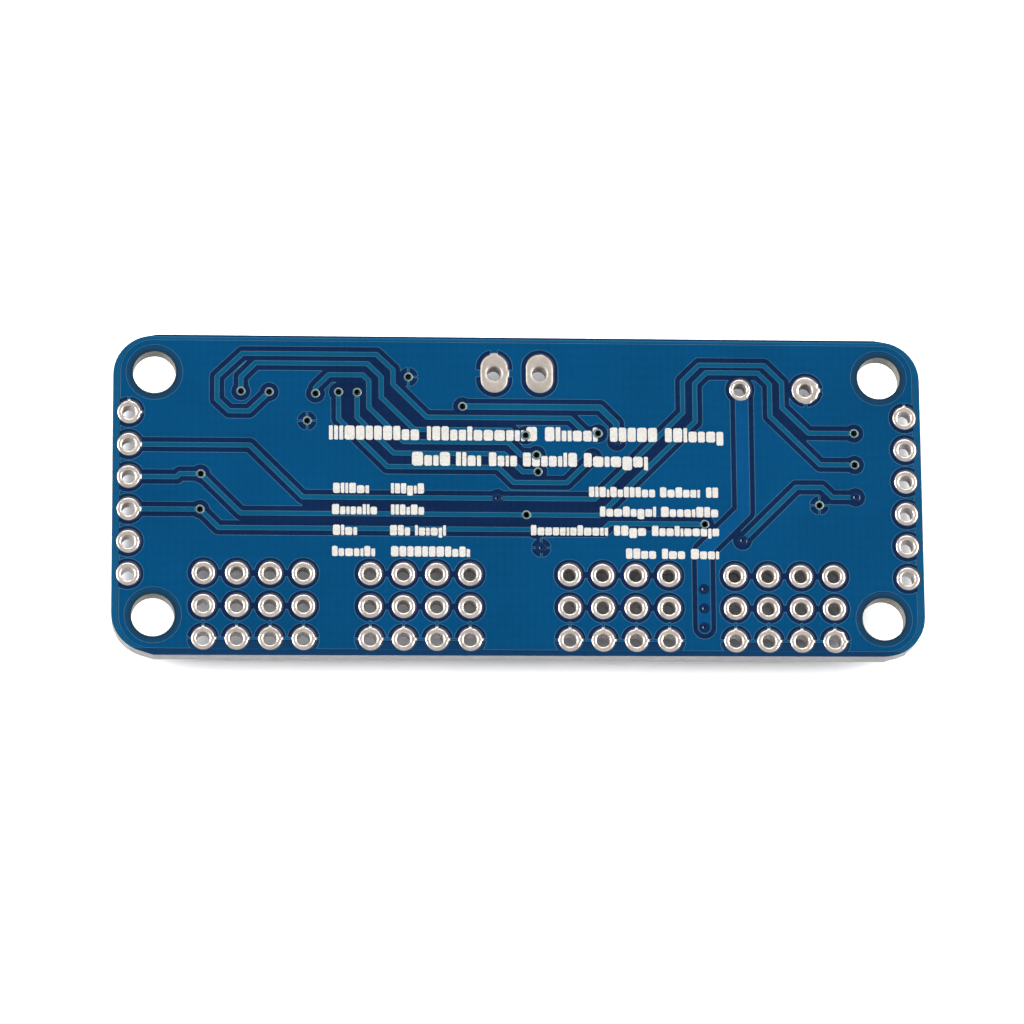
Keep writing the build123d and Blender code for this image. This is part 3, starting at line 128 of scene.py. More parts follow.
# ------------------------------------------------------------------ material helpers
class M:
    """One procedural material; coordinates are object space in millimetres."""

    def __init__(self, name):
        self.m = bpy.data.materials.new(name)
        self.m.use_nodes = True
        self.t = self.m.node_tree
        self.b = self.t.nodes["Principled BSDF"]
        tc = self.t.nodes.new("ShaderNodeTexCoord")
        vm = self.t.nodes.new("ShaderNodeVectorMath")
        vm.operation = "SCALE"
        vm.inputs["Scale"].default_value = 1000.0
        self.t.links.new(tc.outputs["Object"], vm.inputs[0])
        self.p = vm.outputs[0]

    def set(self, **kw):
        for k, v in kw.items():
            self.b.inputs[k.replace("_", " ")].default_value = v

    def noise(self, scale, detail=3.0, rough=0.55, distortion=0.0, vec=None):
        n = self.t.nodes.new("ShaderNodeTexNoise")
        n.inputs["Scale"].default_value = scale
        n.inputs["Detail"].default_value = detail
        n.inputs["Roughness"].default_value = rough
        n.inputs["Distortion"].default_value = distortion
        self.t.links.new(vec or self.p, n.inputs["Vector"])
        return n.outputs["Fac"]

    def stretch(self, sx, sy, sz, rot=0.0):
        mp = self.t.nodes.new("ShaderNodeMapping")
        mp.inputs["Scale"].default_value = (sx, sy, sz)
        mp.inputs["Rotation"].default_value = (0, 0, rot)
        self.t.links.new(self.p, mp.inputs["Vector"])
        return mp.outputs[0]

    def voronoi(self, scale, feature="F1", vec=None, out="Distance"):
        n = self.t.nodes.new("ShaderNodeTexVoronoi")
        n.feature = feature
        n.inputs["Scale"].default_value = scale
        self.t.links.new(vec or self.p, n.inputs["Vector"])
        return n.outputs[out]

    def wave(self, scale, direction="X", distortion=0.5, vec=None, detail=2.0):
        n = self.t.nodes.new("ShaderNodeTexWave")
        n.bands_direction = direction
        n.inputs["Scale"].default_value = scale
        n.inputs["Distortion"].default_value = distortion
        n.inputs["Detail"].default_value = detail
        self.t.links.new(vec or self.p, n.inputs["Vector"])
        return n.outputs["Fac"]

    def ramp(self, fac, stops):
        n = self.t.nodes.new("ShaderNodeValToRGB")
        r = n.color_ramp
        r.elements[0].position, r.elements[0].color = stops[0][0], (*stops[0][1], 1)
        r.elements[1].position, r.elements[1].color = stops[-1][0], (*stops[-1][1], 1)
        for pos, c in stops[1:-1]:
            r.elements.new(pos).color = (*c, 1)
        self.t.links.new(fac, n.inputs[0])
        return n.outputs[0]

    def rng(self, fac, a, b):
        n = self.t.nodes.new("ShaderNodeMapRange")
        n.inputs["To Min"].default_value = a
        n.inputs["To Max"].default_value = b
        self.t.links.new(fac, n.inputs["Value"])
        return n.outputs[0]

    def math(self, op, a, b=None, clamp=False):
        n = self.t.nodes.new("ShaderNodeMath")
        n.operation = op
        n.use_clamp = clamp
        for i, v in enumerate((a, b)):
            if v is None:
                continue
            if isinstance(v, (int, float)):
                n.inputs[i].default_value = v
            else:
                self.t.links.new(v, n.inputs[i])
        return n.outputs[0]

    def mix(self, fac, a, b, mode="MIX"):
        n = self.t.nodes.new("ShaderNodeMix")
        n.data_type = "RGBA"
        n.blend_type = mode
        for sock, v in ((n.inputs[0], fac), (n.inputs[6], a), (n.inputs[7], b)):
            if isinstance(v, (int, float)):
                sock.default_value = v
            elif isinstance(v, tuple):
                sock.default_value = (*v, 1)
            else:
                self.t.links.new(v, sock)
        return n.outputs[2]

    def link(self, out, name):
        self.t.links.new(out, self.b.inputs[name])

    def bump(self, height, strength, dist_mm, chain=None):
        n = self.t.nodes.new("ShaderNodeBump")
        n.inputs["Strength"].default_value = strength
        n.inputs["Distance"].default_value = dist_mm * MM
        self.t.links.new(height, n.inputs["Height"])
        if chain is not None:
            self.t.links.new(chain, n.inputs["Normal"])
        self.t.links.new(n.outputs[0], self.b.inputs["Normal"])
        return n.outputs[0]


KEY = 2.75          # how much brighter than white paper the high-key lighting makes the floor


def raw(r, g, b):
    """sRGB 0..255 to linear."""
    return tuple(((c / 255 + 0.055) / 1.055) ** 2.4 if c > 10.3 else c / 255 / 12.92 for c in (r, g, b))


def lin(r, g, b):
    """Albedo that shows as this sRGB colour under the high-key lighting."""
    return tuple(c / KEY for c in raw(r, g, b))


def lacquer(name, lo, hi, weave=0.10, rough=(0.12, 0.20), spec=0.45, wrap=True):
    """Blue photo-imaged lacquer: thin, slightly uneven, with the glass weave faintly telegraphing through."""
    m = M(name)
    cloud = m.noise(0.16, 4.0, 0.55)
    fine = m.noise(2.6, 3.0, 0.6)
    speck = m.noise(14.0, 2.0, 0.5)
    warp = m.wave(0.54, "X", 0.8, m.stretch(1, 1, 1), 1.0)
    weft = m.wave(0.40, "Y", 0.8, m.stretch(1, 1, 1), 1.0)
    cloth = m.math("MULTIPLY", m.math("ADD", warp, weft), 0.5)
    f = m.math("ADD", m.math("MULTIPLY", cloud, 0.62), m.math("MULTIPLY", fine, 0.20))
    f = m.math("ADD", f, m.math("MULTIPLY", cloth, weave))
    f = m.math("ADD", f, m.math("MULTIPLY", speck, 0.10))
    col = m.ramp(f, [(0.30, lo), (0.72, hi)])
    m.link(col, "Base Color")
    m.link(m.rng(m.noise(5.0, 3.0, 0.6), *rough), "Roughness")
    m.set(IOR=1.50)
    m.b.inputs["Specular IOR Level"].default_value = spec
    m.bump(m.math("ADD", m.noise(2.2, 2.0, 0.5), m.math("MULTIPLY", cloth, 0.35)), 0.06, 0.015)
    return m.m if wrap else (m, col)


MAT = {}
MAT["mask_pour"] = lacquer("lacquer_over_ground", lin(3, 74, 119), lin(3, 84, 134), 0.16)
MAT["mask_track"] = lacquer("lacquer_over_track", lin(8, 86, 122), lin(10, 98, 140), 0.05)
MAT["mask_bare"] = lacquer("lacquer_over_laminate", lin(10, 36, 72), lin(17, 45, 88), 0.20)
# painted highlight: the upper half of each lacquer slope over a copper edge gets a lighter colour with weak specular,
# standing in for the light the slope catches
MAT["mask_edge"] = lacquer("lacquer_over_edge_painted_highlight", lin(50, 104, 136), lin(70, 122, 152), 0.05, (0.45, 0.55), 0.06)
MAT["mask_foot"] = lacquer("lacquer_foot", lin(9, 34, 70), lin(14, 42, 82), 0.05, (0.45, 0.55), 0.05)
MAT["mask_tent"] = lacquer("lacquer_over_via", lin(10, 42, 84), lin(16, 52, 96), 0.05)
# painted shade: near-black lacquer in the middle of each tented via, where the dimple over the hole lies
MAT["mask_dot"] = lacquer("lacquer_in_via_painted_shade", lin(2, 14, 34), lin(5, 20, 44), 0.05)
MAT["mask_side"] = lacquer("lacquer_side", lin(8, 60, 100), lin(16, 80, 124), 0.05)


def margin_lacquer():
    """Lacquer on the bare border: brighter on the short sides, a dark line along the long ones, and a thin painted
    highlight line just inside the upper edge.
    """
    m, col = lacquer("lacquer_margin", lin(12, 84, 126), lin(24, 96, 140), 0.12, wrap=False)
    sp = m.t.nodes.new("ShaderNodeSeparateXYZ")
    m.t.links.new(m.p, sp.inputs[0])
    y = sp.outputs[1]

    def step(v, a, b, lo, hi):
        n = m.t.nodes.new("ShaderNodeMapRange")
        n.interpolation_type = "SMOOTHSTEP"
        for k, q in (("From Min", a), ("From Max", b), ("To Min", lo), ("To Max", hi)):
            n.inputs[k].default_value = q
        m.t.links.new(v, n.inputs["Value"])
        return n.outputs[0]

    wob = m.math("ADD", y, m.math("MULTIPLY", m.math("SUBTRACT", m.noise(0.5, 2.0, 0.5), 0.5), 0.06))
    upper = step(wob, 12.36, 12.42, 0.0, 1.0)
    lower = step(wob, -12.08, -12.16, 0.0, 1.0)
    dark = m.mix(m.noise(1.4, 3.0, 0.6), lin(12, 54, 96), lin(22, 68, 108))
    line = m.mix(m.noise(1.4, 3.0, 0.6), lin(8, 40, 80), lin(16, 56, 98))
    bare = m.mix(m.noise(1.4, 3.0, 0.6), lin(12, 38, 76), lin(18, 45, 88))
    # painted highlight: a thin lighter line just inside the dark line at the upper edge
    painted_edge_highlight = m.math("MULTIPLY", step(wob, 12.28, 12.33, 0.0, 1.0), step(wob, 12.34, 12.40, 1.0, 0.0))
    c = m.mix(painted_edge_highlight, col, lin(46, 112, 152))
    c = m.mix(upper, c, line)
    c = m.mix(lower, c, dark)
    low = m.math("MULTIPLY", step(m.math("ABSOLUTE", sp.outputs[0]), 25.9, 26.0, 1.0, 0.0), step(wob, -12.05, -12.12, 1.0, 0.0))
    fade = m.mix(step(wob, -11.75, -11.05, 0.0, 1.0), dark, bare)
    c = m.mix(m.math("MULTIPLY", low, step(wob, -10.0, -9.9, 1.0, 0.0)), c, fade)
    m.link(c, "Base Color")
    return m.m


MAT["mask_margin"] = margin_lacquer()


def ring_lacquer():
    """Bare ring round a mounting hole: greenish dark at the drilled edge, bluer outwards."""
    m, col = lacquer("lacquer_ring", lin(10, 66, 108), lin(18, 78, 120), 0.05, (0.20, 0.30), 0.30, False)
    sp = m.t.nodes.new("ShaderNodeSeparateXYZ")
    m.t.links.new(m.p, sp.inputs[0])
    hx = m.math("SUBTRACT", m.math("ABSOLUTE", sp.outputs[0]), 27.94)
    hy = m.math("SUBTRACT", m.math("ABSOLUTE", sp.outputs[1]), 9.525)
    r = m.math("SQRT", m.math("ADD", m.math("MULTIPLY", hx, hx), m.math("MULTIPLY", hy, hy)))
    r = m.math("ADD", r, m.math("MULTIPLY", m.math("SUBTRACT", m.noise(1.6, 2.0, 0.5), 0.5), 0.10))
    n = m.t.nodes.new("ShaderNodeMapRange")
    n.interpolation_type = "SMOOTHSTEP"
    n.inputs["From Min"].default_value = 1.72
    n.inputs["From Max"].default_value = 2.10
    m.t.links.new(r, n.inputs["Value"])
    m.link(m.mix(n.outputs[0], m.mix(m.noise(2.0, 3.0, 0.6), lin(14, 52, 74), lin(30, 66, 86)), col), "Base Color")
    return m.m


MAT["mask_ring"] = ring_lacquer()


def tin(name, lo, hi, rough, bump=0.35, grain=9.0, metal=0.55):
    """Hot-air-levelled solder: bright edges, cloudy greyish-beige body."""
    m = M(name)
    n = m.noise(grain, 4.0, 0.6, 0.4)
    big = m.noise(1.1, 2.0, 0.5)
    f = m.math("ADD", m.math("MULTIPLY", n, 0.55), m.math("MULTIPLY", big, 0.45))
    m.link(m.ramp(f, [(0.32, lo), (0.70, hi)]), "Base Color")
    m.set(Metallic=metal)
    m.link(m.rng(m.noise(5.5, 3.0, 0.6), rough[0], rough[1]), "Roughness")
    m.bump(m.math("ADD", m.noise(6.5, 3.0, 0.5), m.math("MULTIPLY", m.noise(24.0, 2.0, 0.5), 0.25)), bump, 0.030)
    return m.m


MAT["tin"] = tin("levelled_tin", raw(166, 157, 149), raw(196, 188, 181), (0.18, 0.28), 0.07, 3.0, 0.62)
MAT["tin_matt"] = tin("levelled_tin_matt", raw(128, 121, 114), raw(150, 143, 136), (0.40, 0.50), 0.18, 4.0, 0.50)
MAT["tin_barrel"] = tin("plated_wall", raw(158, 150, 148), raw(184, 176, 174), (0.40, 0.55), 0.20, 4.0, 0.6)
MAT["via_tin"] = tin("via_ring", raw(84, 108, 106), raw(120, 142, 136), (0.35, 0.50), 0.15, 4.0, 0.6)


def fr4(name):
    """Glass-epoxy laminate: pale, fibrous on cut faces, plies stacked through the thickness."""
    m = M(name)
    plies = m.wave(2.3, "Z", 1.6, m.stretch(0.4, 0.4, 1.0), 3.0)
    fibre = m.noise(9.0, 5.0, 0.65, 0.3, m.stretch(0.5, 0.5, 2.4))
    blot = m.noise(1.2, 3.0, 0.6)
    f = m.math("ADD", m.math("MULTIPLY", plies, 0.25), m.math("MULTIPLY", fibre, 0.45))
    f = m.math("ADD", f, m.math("MULTIPLY", blot, 0.30))
    body = m.ramp(f, [(0.25, lin(150, 142, 126)), (0.50, lin(192, 186, 170)), (0.78, lin(222, 218, 206))])
    outer = m.ramp(f, [(0.25, lin(168, 167, 170)), (0.50, lin(206, 204, 206)), (0.78, lin(232, 230, 230))])
    sp = m.t.nodes.new("ShaderNodeSeparateXYZ")
    m.t.links.new(m.p, sp.inputs[0])
    edge = m.t.nodes.new("ShaderNodeMapRange")
    edge.interpolation_type = "SMOOTHSTEP"
    edge.inputs["From Min"].default_value = 10.6
    edge.inputs["From Max"].default_value = 12.6
    m.t.links.new(m.math("ABSOLUTE", sp.outputs[1]), edge.inputs["Value"])
    rim = edge.outputs[0]
    c = m.mix(rim, body, outer)
    bare = m.math("ADD", m.math("GREATER_THAN", sp.outputs[2], ZT - 0.010), m.math("LESS_THAN", sp.outputs[2], ZB + 0.010), True)
    c = m.mix(bare, c, m.mix(fibre, lin(10, 34, 66), lin(26, 50, 84)))
    m.link(c, "Base Color")
    m.link(m.rng(fibre, 0.55, 0.80), "Roughness")
    m.b.inputs["Subsurface Weight"].default_value = 0.06
    m.b.inputs["Subsurface Radius"].default_value = (0.0006, 0.0006, 0.0004)
    m.b.inputs["Subsurface Scale"].default_value = 1.0
    m.bump(m.math("ADD", fibre, m.math("MULTIPLY", plies, 0.5)), 0.55, 0.060)
    return m.m


MAT["fr4"] = fr4("glass_epoxy")


def simple(name, lo, hi, rough, metallic=0.0, scale=6.0, bump=0.2, dist=0.02, **kw):
    m = M(name)
    n = m.noise(scale, 4.0, 0.6)
    m.link(m.ramp(n, [(0.32, lo), (0.70, hi)]), "Base Color")
    m.link(m.rng(m.noise(scale * 1.7, 3.0, 0.6), rough[0], rough[1]), "Roughness")
    m.b.inputs["Metallic"].default_value = metallic
    for k, v in kw.items():
        m.b.inputs[k.replace("_", " ")].default_value = v
    m.bump(m.noise(scale * 2.3, 4.0, 0.6), bump, dist)
    return m.m


MAT["copper"] = simple("copper_foil", raw(176, 104, 74), raw(214, 138, 104), (0.28, 0.40), 1.0)
MAT["ink"] = simple("white_ink", lin(222, 217, 210), lin(248, 245, 239), (0.50, 0.65), 0.0, 5.0, 0.45, 0.02)
MAT["mould"] = simple("moulding_compound", lin(26, 26, 27), lin(44, 44, 45), (0.48, 0.62), 0.0, 16.0, 0.35, 0.02)
MAT["lead"] = simple("plated_lead", raw(196, 196, 194), raw(226, 226, 224), (0.26, 0.40), 1.0, 9.0, 0.2, 0.015)
MAT["alumina"] = simple("alumina", lin(214, 211, 202), lin(236, 234, 228), (0.45, 0.6), 0.0, 12.0, 0.3, 0.015)
MAT["glaze"] = simple("black_glaze", lin(10, 10, 12), lin(22, 22, 26), (0.15, 0.26), 0.0, 7.0, 0.15, 0.015)
MAT["mlcc"] = simple("capacitor_ceramic", lin(150, 118, 84), lin(182, 150, 112), (0.38, 0.50), 0.0, 10.0, 0.2, 0.012)
MAT["terminal"] = simple("part_terminals", raw(200, 199, 194), raw(230, 229, 224), (0.30, 0.45), 1.0, 9.0, 0.3, 0.02)
MAT["white_mould"] = simple("white_moulding", lin(216, 216, 208), lin(236, 236, 230), (0.4, 0.5), 0.0, 10.0, 0.15, 0.01)
MAT["solder"] = simple("solder", raw(198, 198, 196), raw(228, 228, 226), (0.16, 0.28), 1.0, 5.0, 0.25, 0.03)
MAT["resin"] = simple("clear_resin", lin(214, 236, 176), lin(232, 246, 204), (0.10, 0.18), 0.0, 4.0, 0.08, 0.01, Transmission_Weight=0.75, IOR=1.5)

m = M("floor_with_painted_shade_and_light")
paper = m.ramp(m.noise(0.02, 3.0, 0.5), [(0.3, (0.90, 0.90, 0.90)), (0.7, (0.94, 0.94, 0.94))])
sp = m.t.nodes.new("ShaderNodeSeparateXYZ")
m.t.links.new(m.p, sp.inputs[0])
fx, fy = sp.outputs[0], sp.outputs[1]


def step(m_, v, a, b, lo, hi):
    n = m_.t.nodes.new("ShaderNodeMapRange")
    n.interpolation_type = "SMOOTHSTEP"
    for k, q in (("From Min", a), ("From Max", b), ("To Min", lo), ("To Max", hi)):
        n.inputs[k].default_value = q
    m_.t.links.new(v, n.inputs["Value"])
    return n.outputs[0]


# what is seen through a hole lies a little beyond it, so the painted shade and light zones are set off by that much
ux, uy = m.math("SUBTRACT", fx, 0.27), m.math("SUBTRACT", fy, 0.95)
absx, absy = m.math("ABSOLUTE", ux), m.math("ABSOLUTE", uy)
# painted light: the floor glows in spots where it is seen through the four mounting holes
hx = m.math("SUBTRACT", absx, 27.94)
hy = m.math("SUBTRACT", absy, 9.525)
hr = m.math("SQRT", m.math("ADD", m.math("MULTIPLY", hx, hx), m.math("MULTIPLY", hy, hy)))
painted_hole_light = step(m, hr, 1.75, 2.35, 1.0, 0.0)
# painted shade: the floor colour is darkened in the zone between floor and board, deeper towards the right
cx_ = m.math("MAXIMUM", m.math("SUBTRACT", absx, 28.0), 0.0)
cy_ = m.math("MAXIMUM", m.math("SUBTRACT", absy, 9.5), 0.0)
cr_ = m.math("SQRT", m.math("ADD", m.math("MULTIPLY", cx_, cx_), m.math("MULTIPLY", cy_, cy_)))
under = step(m, cr_, 1.9, 3.0, 1.0, 0.0)
side = m.math("MULTIPLY", m.math("ADD", step(m, ux, -26.5, -28.4, 0.0, 0.76), step(m, ux, 26.5, 28.4, 0.0, 0.66)),
              step(m, absy, 6.9, 8.3, 1.0, 0.0))
slope = step(m, ux, -26.0, 26.0, 0.0, 0.30)
rows = step(m, uy, -4.0, -5.5, 0.0, 1.0)
last = m.math("MULTIPLY", step(m, ux, -20.0, 26.0, 0.0, 0.66), step(m, uy, -9.8, -10.4, 0.0, 1.0))
right_end = m.math("MULTIPLY", step(m, ux, 21.5, 23.5, 0.0, 0.72), step(m, uy, -7.2, -7.9, 0.0, 1.0))
shade = m.math("MAXIMUM", side, m.math("MULTIPLY", slope, rows))
shade = m.math("MAXIMUM", shade, m.math("MAXIMUM", last, right_end))
shade = m.math("MULTIPLY", m.math("MULTIPLY", shade, under), m.math("SUBTRACT", 1.0, painted_hole_light))
# painted shade: where the masks above are set, the floor colour is mixed towards near-black
m.link(m.mix(shade, paper, (0.10, 0.10, 0.11)), "Base Color")
m.set(Roughness=0.9)
m.b.inputs["Specular IOR Level"].default_value = 0.1
# painted light: the floor emits light in the mounting-hole spots and faintly under the pin rows towards the left. Far
# out from the board it also glows, which brightens the backdrop.
m.b.inputs["Emission Color"].default_value = (1.0, 1.0, 1.0, 1.0)
left = m.math("MULTIPLY", m.math("MULTIPLY", step(m, ux, -30.0, 10.0, 0.13, 0.0), rows), under)
far = m.math("SQRT", m.math("ADD", m.math("MULTIPLY", fx, fx), m.math("MULTIPLY", fy, fy)))
wide = step(m, far, 220.0, 800.0, 0.0, 0.60)
m.link(m.math("ADD", m.math("ADD", m.math("MULTIPLY", painted_hole_light, 0.60), left), wide), "Emission Strength")
MAT["floor"] = m.m

bm = bmesh.new()
bmesh.ops.create_grid(bm, x_segments=8, y_segments=8, size=3.0)
me = bpy.data.meshes.new("floor")
bm.to_mesh(me)
bm.free()
floor = bpy.data.objects.new("floor", me)
bpy.context.scene.collection.objects.link(floor)
floor.location.z = cad_lo.z - 0.00002
me.materials.append(MAT["floor"])


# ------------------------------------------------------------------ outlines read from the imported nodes
def mesh_arrays(node):
    o = NODES[node]
    me = o.data
    v = np.empty(len(me.vertices) * 3, np.float64)
    me.vertices.foreach_get("co", v)
    v = v.reshape(-1, 3)
    mw = np.array(o.matrix_world)
    v = v @ mw[:3, :3].T + mw[:3, 3]
    me.calc_loop_triangles()
    t = np.empty(len(me.loop_triangles) * 3, np.int64)
    me.loop_triangles.foreach_get("vertices", t)
    return v / MM, t.reshape(-1, 3)


def plane_loops(node, z, tol=0.003):
    """Closed outlines, in mm, of the faces of a node that lie at height z."""
    v, t = mesh_arrays(node)
    key = np.round(v / 0.0005).astype(np.int64)
    _, inv = np.unique(key, axis=0, return_inverse=True)
    inv = inv.reshape(-1)
    rep = np.zeros((inv.max() + 1, 3))
    rep[inv] = v
    t = inv[t]
    flat = (np.abs(rep[t][:, :, 2] - z) < tol).all(1)
    t = t[flat]
    t = t[(t[:, 0] != t[:, 1]) & (t[:, 1] != t[:, 2]) & (t[:, 0] != t[:, 2])]
    edges = {}
    for a, b, c in t:
        for p, q in ((a, b), (b, c), (c, a)):
            if (q, p) in edges:
                del edges[(q, p)]
            else:
                edges[(p, q)] = True
    nxt = {}
    for p, q in edges:
        nxt.setdefault(p, []).append(q)
    loops = []
    while nxt:
        s = next(iter(nxt))
        loop, cur = [s], s
        while True:
            n = nxt[cur].pop()
            if not nxt[cur]:
                del nxt[cur]
            if n == s:
                break
            loop.append(n)
            cur = n
            if cur not in nxt:
                break
        if len(loop) > 2:
            loops.append(rep[loop][:, :2])
    return loops


H = 0.05
GX0, GY0 = -31.6, -13.1
NX, NY = int(63.2 / H) + 1, int(26.2 / H) + 1
gx = GX0 + np.arange(NX) * H
gy = GY0 + np.arange(NY) * H


def inside_grid(loops):
    """Even-odd fill of closed outlines on the grid."""
    cross = np.zeros((NY, NX + 1), np.int32)
    for L in loops:
        a, b = L, np.roll(L, -1, 0)
        for (x0, y0), (x1, y1) in zip(a, b):
            if y0 == y1:
                continue
            if y0 > y1:
                x0, y0, x1, y1 = x1, y1, x0, y0
            j0 = int(math.ceil((y0 - GY0) / H))
            j1 = int(math.ceil((y1 - GY0) / H))
            if j1 <= j0:
                continue
            jj = np.arange(max(j0, 0), min(j1, NY))
            xx = x0 + (gy[jj] - y0) * (x1 - x0) / (y1 - y0)
            ii = np.clip(np.ceil((xx - GX0) / H).astype(int), 0, NX)
            cross[jj, ii] += 1
    return (np.cumsum(cross, 1)[:, :NX] % 2) == 1


def sdf_grid(loops, band=0.30):
    """Signed distance to closed outlines, negative inside, exact within the band."""
    d = np.full((NY, NX), band)
    k = int(band / H) + 1
    for L in loops:
        a, b = L, np.roll(L, -1, 0)
        for (x0, y0), (x1, y1) in zip(a, b):
            n = max(1, int(math.hypot(x1 - x0, y1 - y0) / 2.0))
            for s in range(n):
                u0, u1 = s / n, (s + 1) / n
                ax, ay = x0 + (x1 - x0) * u0, y0 + (y1 - y0) * u0
                bx, by = x0 + (x1 - x0) * u1, y0 + (y1 - y0) * u1
                i0 = max(int((min(ax, bx) - GX0) / H) - k, 0)
                i1 = min(int((max(ax, bx) - GX0) / H) + k + 2, NX)
                j0 = max(int((min(ay, by) - GY0) / H) - k, 0)
                j1 = min(int((max(ay, by) - GY0) / H) + k + 2, NY)
                if i1 <= i0 or j1 <= j0:
                    continue
                X = gx[None, i0:i1] - ax
                Y = gy[j0:j1, None] - ay
                ex, ey = bx - ax, by - ay
                ll = ex * ex + ey * ey
                t = np.clip((X * ex + Y * ey) / ll, 0, 1) if ll > 0 else 0.0
                r = np.sqrt((X - t * ex) ** 2 + (Y - t * ey) ** 2)
                sub = d[j0:j1, i0:i1]
                np.minimum(sub, r, out=sub)
    ins = inside_grid(loops)
    return np.where(ins, -d, d)


def sample(grid, x, y):
    fx = np.clip((np.asarray(x) - GX0) / H, 0, NX - 1.001)
    fy = np.clip((np.asarray(y) - GY0) / H, 0, NY - 1.001)
    i, j = fx.astype(int), fy.astype(int)
    u, v = fx - i, fy - j
    return (grid[j, i] * (1 - u) * (1 - v) + grid[j, i + 1] * u * (1 - v)
            + grid[j + 1, i] * (1 - u) * v + grid[j + 1, i + 1] * u * v)


def simplify(P, tol):
    """Douglas-Peucker on a closed polyline."""
    n = len(P)
    if n < 8:
        return P
    far = int(np.argmax(((P - P[0]) ** 2).sum(1)))
    keep = np.zeros(n + 1, bool)
    Q = np.vstack([P, P[:1]])
    keep[[0, far, n]] = True
    stack = [(0, far), (far, n)]
    while stack:
        a, b = stack.pop()
        if b - a < 2:
            continue
        A, B = Q[a], Q[b]
        seg = Q[a + 1:b]
        e = B - A
        L = math.hypot(*e)
        if L < 1e-12:
            dist = np.hypot(*(seg - A).T)
        else:
            dist = np.abs(e[0] * (seg[:, 1] - A[1]) - e[1] * (seg[:, 0] - A[0])) / L
        k = int(np.argmax(dist))
        if dist[k] > tol:
            keep[a + 1 + k] = True
            stack += [(a, a + 1 + k), (a + 1 + k, b)]
    return Q[:-1][keep[:-1]]


def contours(grid, level, tol=0.004):
    """Closed iso-lines of a grid field."""
    g = grid - level
    g = np.where(np.abs(g) < 1e-9, 1e-9, g)
    neg = g < 0
    pts, segs = {}, {}

    def point(kind, j, i):
        k = (kind, j, i)
        if k not in pts:
            if kind == 0:
                a, b = g[j, i], g[j, i + 1]
                u = a / (a - b)
                pts[k] = (GX0 + (i + u) * H, GY0 + j * H)
            else:
                a, b = g[j, i], g[j + 1, i]
                u = a / (a - b)
                pts[k] = (GX0 + i * H, GY0 + (j + u) * H)
        return k

    code = (neg[:-1, :-1] * 1 + neg[:-1, 1:] * 2 + neg[1:, 1:] * 4 + neg[1:, :-1] * 8)
    js, iss = np.nonzero((code > 0) & (code < 15))
    for j, i in zip(js.tolist(), iss.tolist()):
        c = int(code[j, i])
        S = ("0", j, i)
        bot, rgt, top, lft = (0, j, i), (1, j, i + 1), (0, j + 1, i), (1, j, i)
        table = {1: [(bot, lft)], 2: [(rgt, bot)], 3: [(rgt, lft)], 4: [(top, rgt)], 6: [(top, bot)], 7: [(top, lft)],
                 8: [(lft, top)], 9: [(bot, top)], 11: [(rgt, top)], 12: [(lft, rgt)], 13: [(bot, rgt)], 14: [(lft, bot)]}
        if c in (5, 10):
            mid = g[j:j + 2, i:i + 2].mean() < 0
            if c == 5:
                ss = [(top, lft), (bot, rgt)] if mid else [(bot, lft), (top, rgt)]
            else:
                ss = [(rgt, top), (lft, bot)] if mid else [(rgt, bot), (lft, top)]
        else:
            ss = table[c]
        for a, b in ss:
            segs[point(*a)] = point(*b)
    loops = []
    while segs:
        s, cur = next(iter(segs.items()))
        loop = [s]
        del segs[s]
        while cur != s:
            loop.append(cur)
            if cur not in segs:
                break
            cur = segs.pop(cur)
        if len(loop) > 5:
            loops.append(simplify(np.array([pts[k] for k in loop]), tol))
    return [L for L in loops if len(L) > 3]


# ------------------------------------------------------------------ relief layers
def new_object(name, verts, faces, mats, idx=None, smooth=False):
    me = bpy.data.meshes.new(name)
    me.from_pydata(verts, [], faces)
    for mt in mats:
        me.materials.append(mt)
    if idx is not None:
        me.polygons.foreach_set("material_index", np.asarray(idx, np.int32))
    me.polygons.foreach_set("use_smooth", np.full(len(me.polygons), smooth))
    me.update()
    o = bpy.data.objects.new(name, me)
    bpy.context.scene.collection.objects.link(o)
    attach(o, "root")
    return o


def triangulate(loops, inside):
    """Constrained triangulation of crossing outlines; keeps the triangles that inside() accepts."""
    vs, es = [], []
    for L in loops:
        k = len(vs)
        vs += [Vector((float(x), float(y))) for x, y in L]
        n = len(L)
        es += [(k + i, k + (i + 1) % n) for i in range(n)]
    V, E, F, _, _, _ = delaunay_2d_cdt(vs, es, [], 0, 1e-6)
    V = np.array([(v.x, v.y) for v in V])
    F = np.array([f for f in F if len(f) == 3])
    c = V[F].mean(1)
    keep = inside(c[:, 0], c[:, 1])
    F = F[keep]
    a = V[F]
    area2 = (a[:, 1, 0] - a[:, 0, 0]) * (a[:, 2, 1] - a[:, 0, 1]) - (a[:, 1, 1] - a[:, 0, 1]) * (a[:, 2, 0] - a[:, 0, 0])
    F[area2 < 0] = F[area2 < 0][:, ::-1]
    F = F[np.abs(area2) > 1e-9]
    used = np.unique(F)
    remap = -np.ones(len(V), int)
    remap[used] = np.arange(len(used))
    return V[used], remap[F]


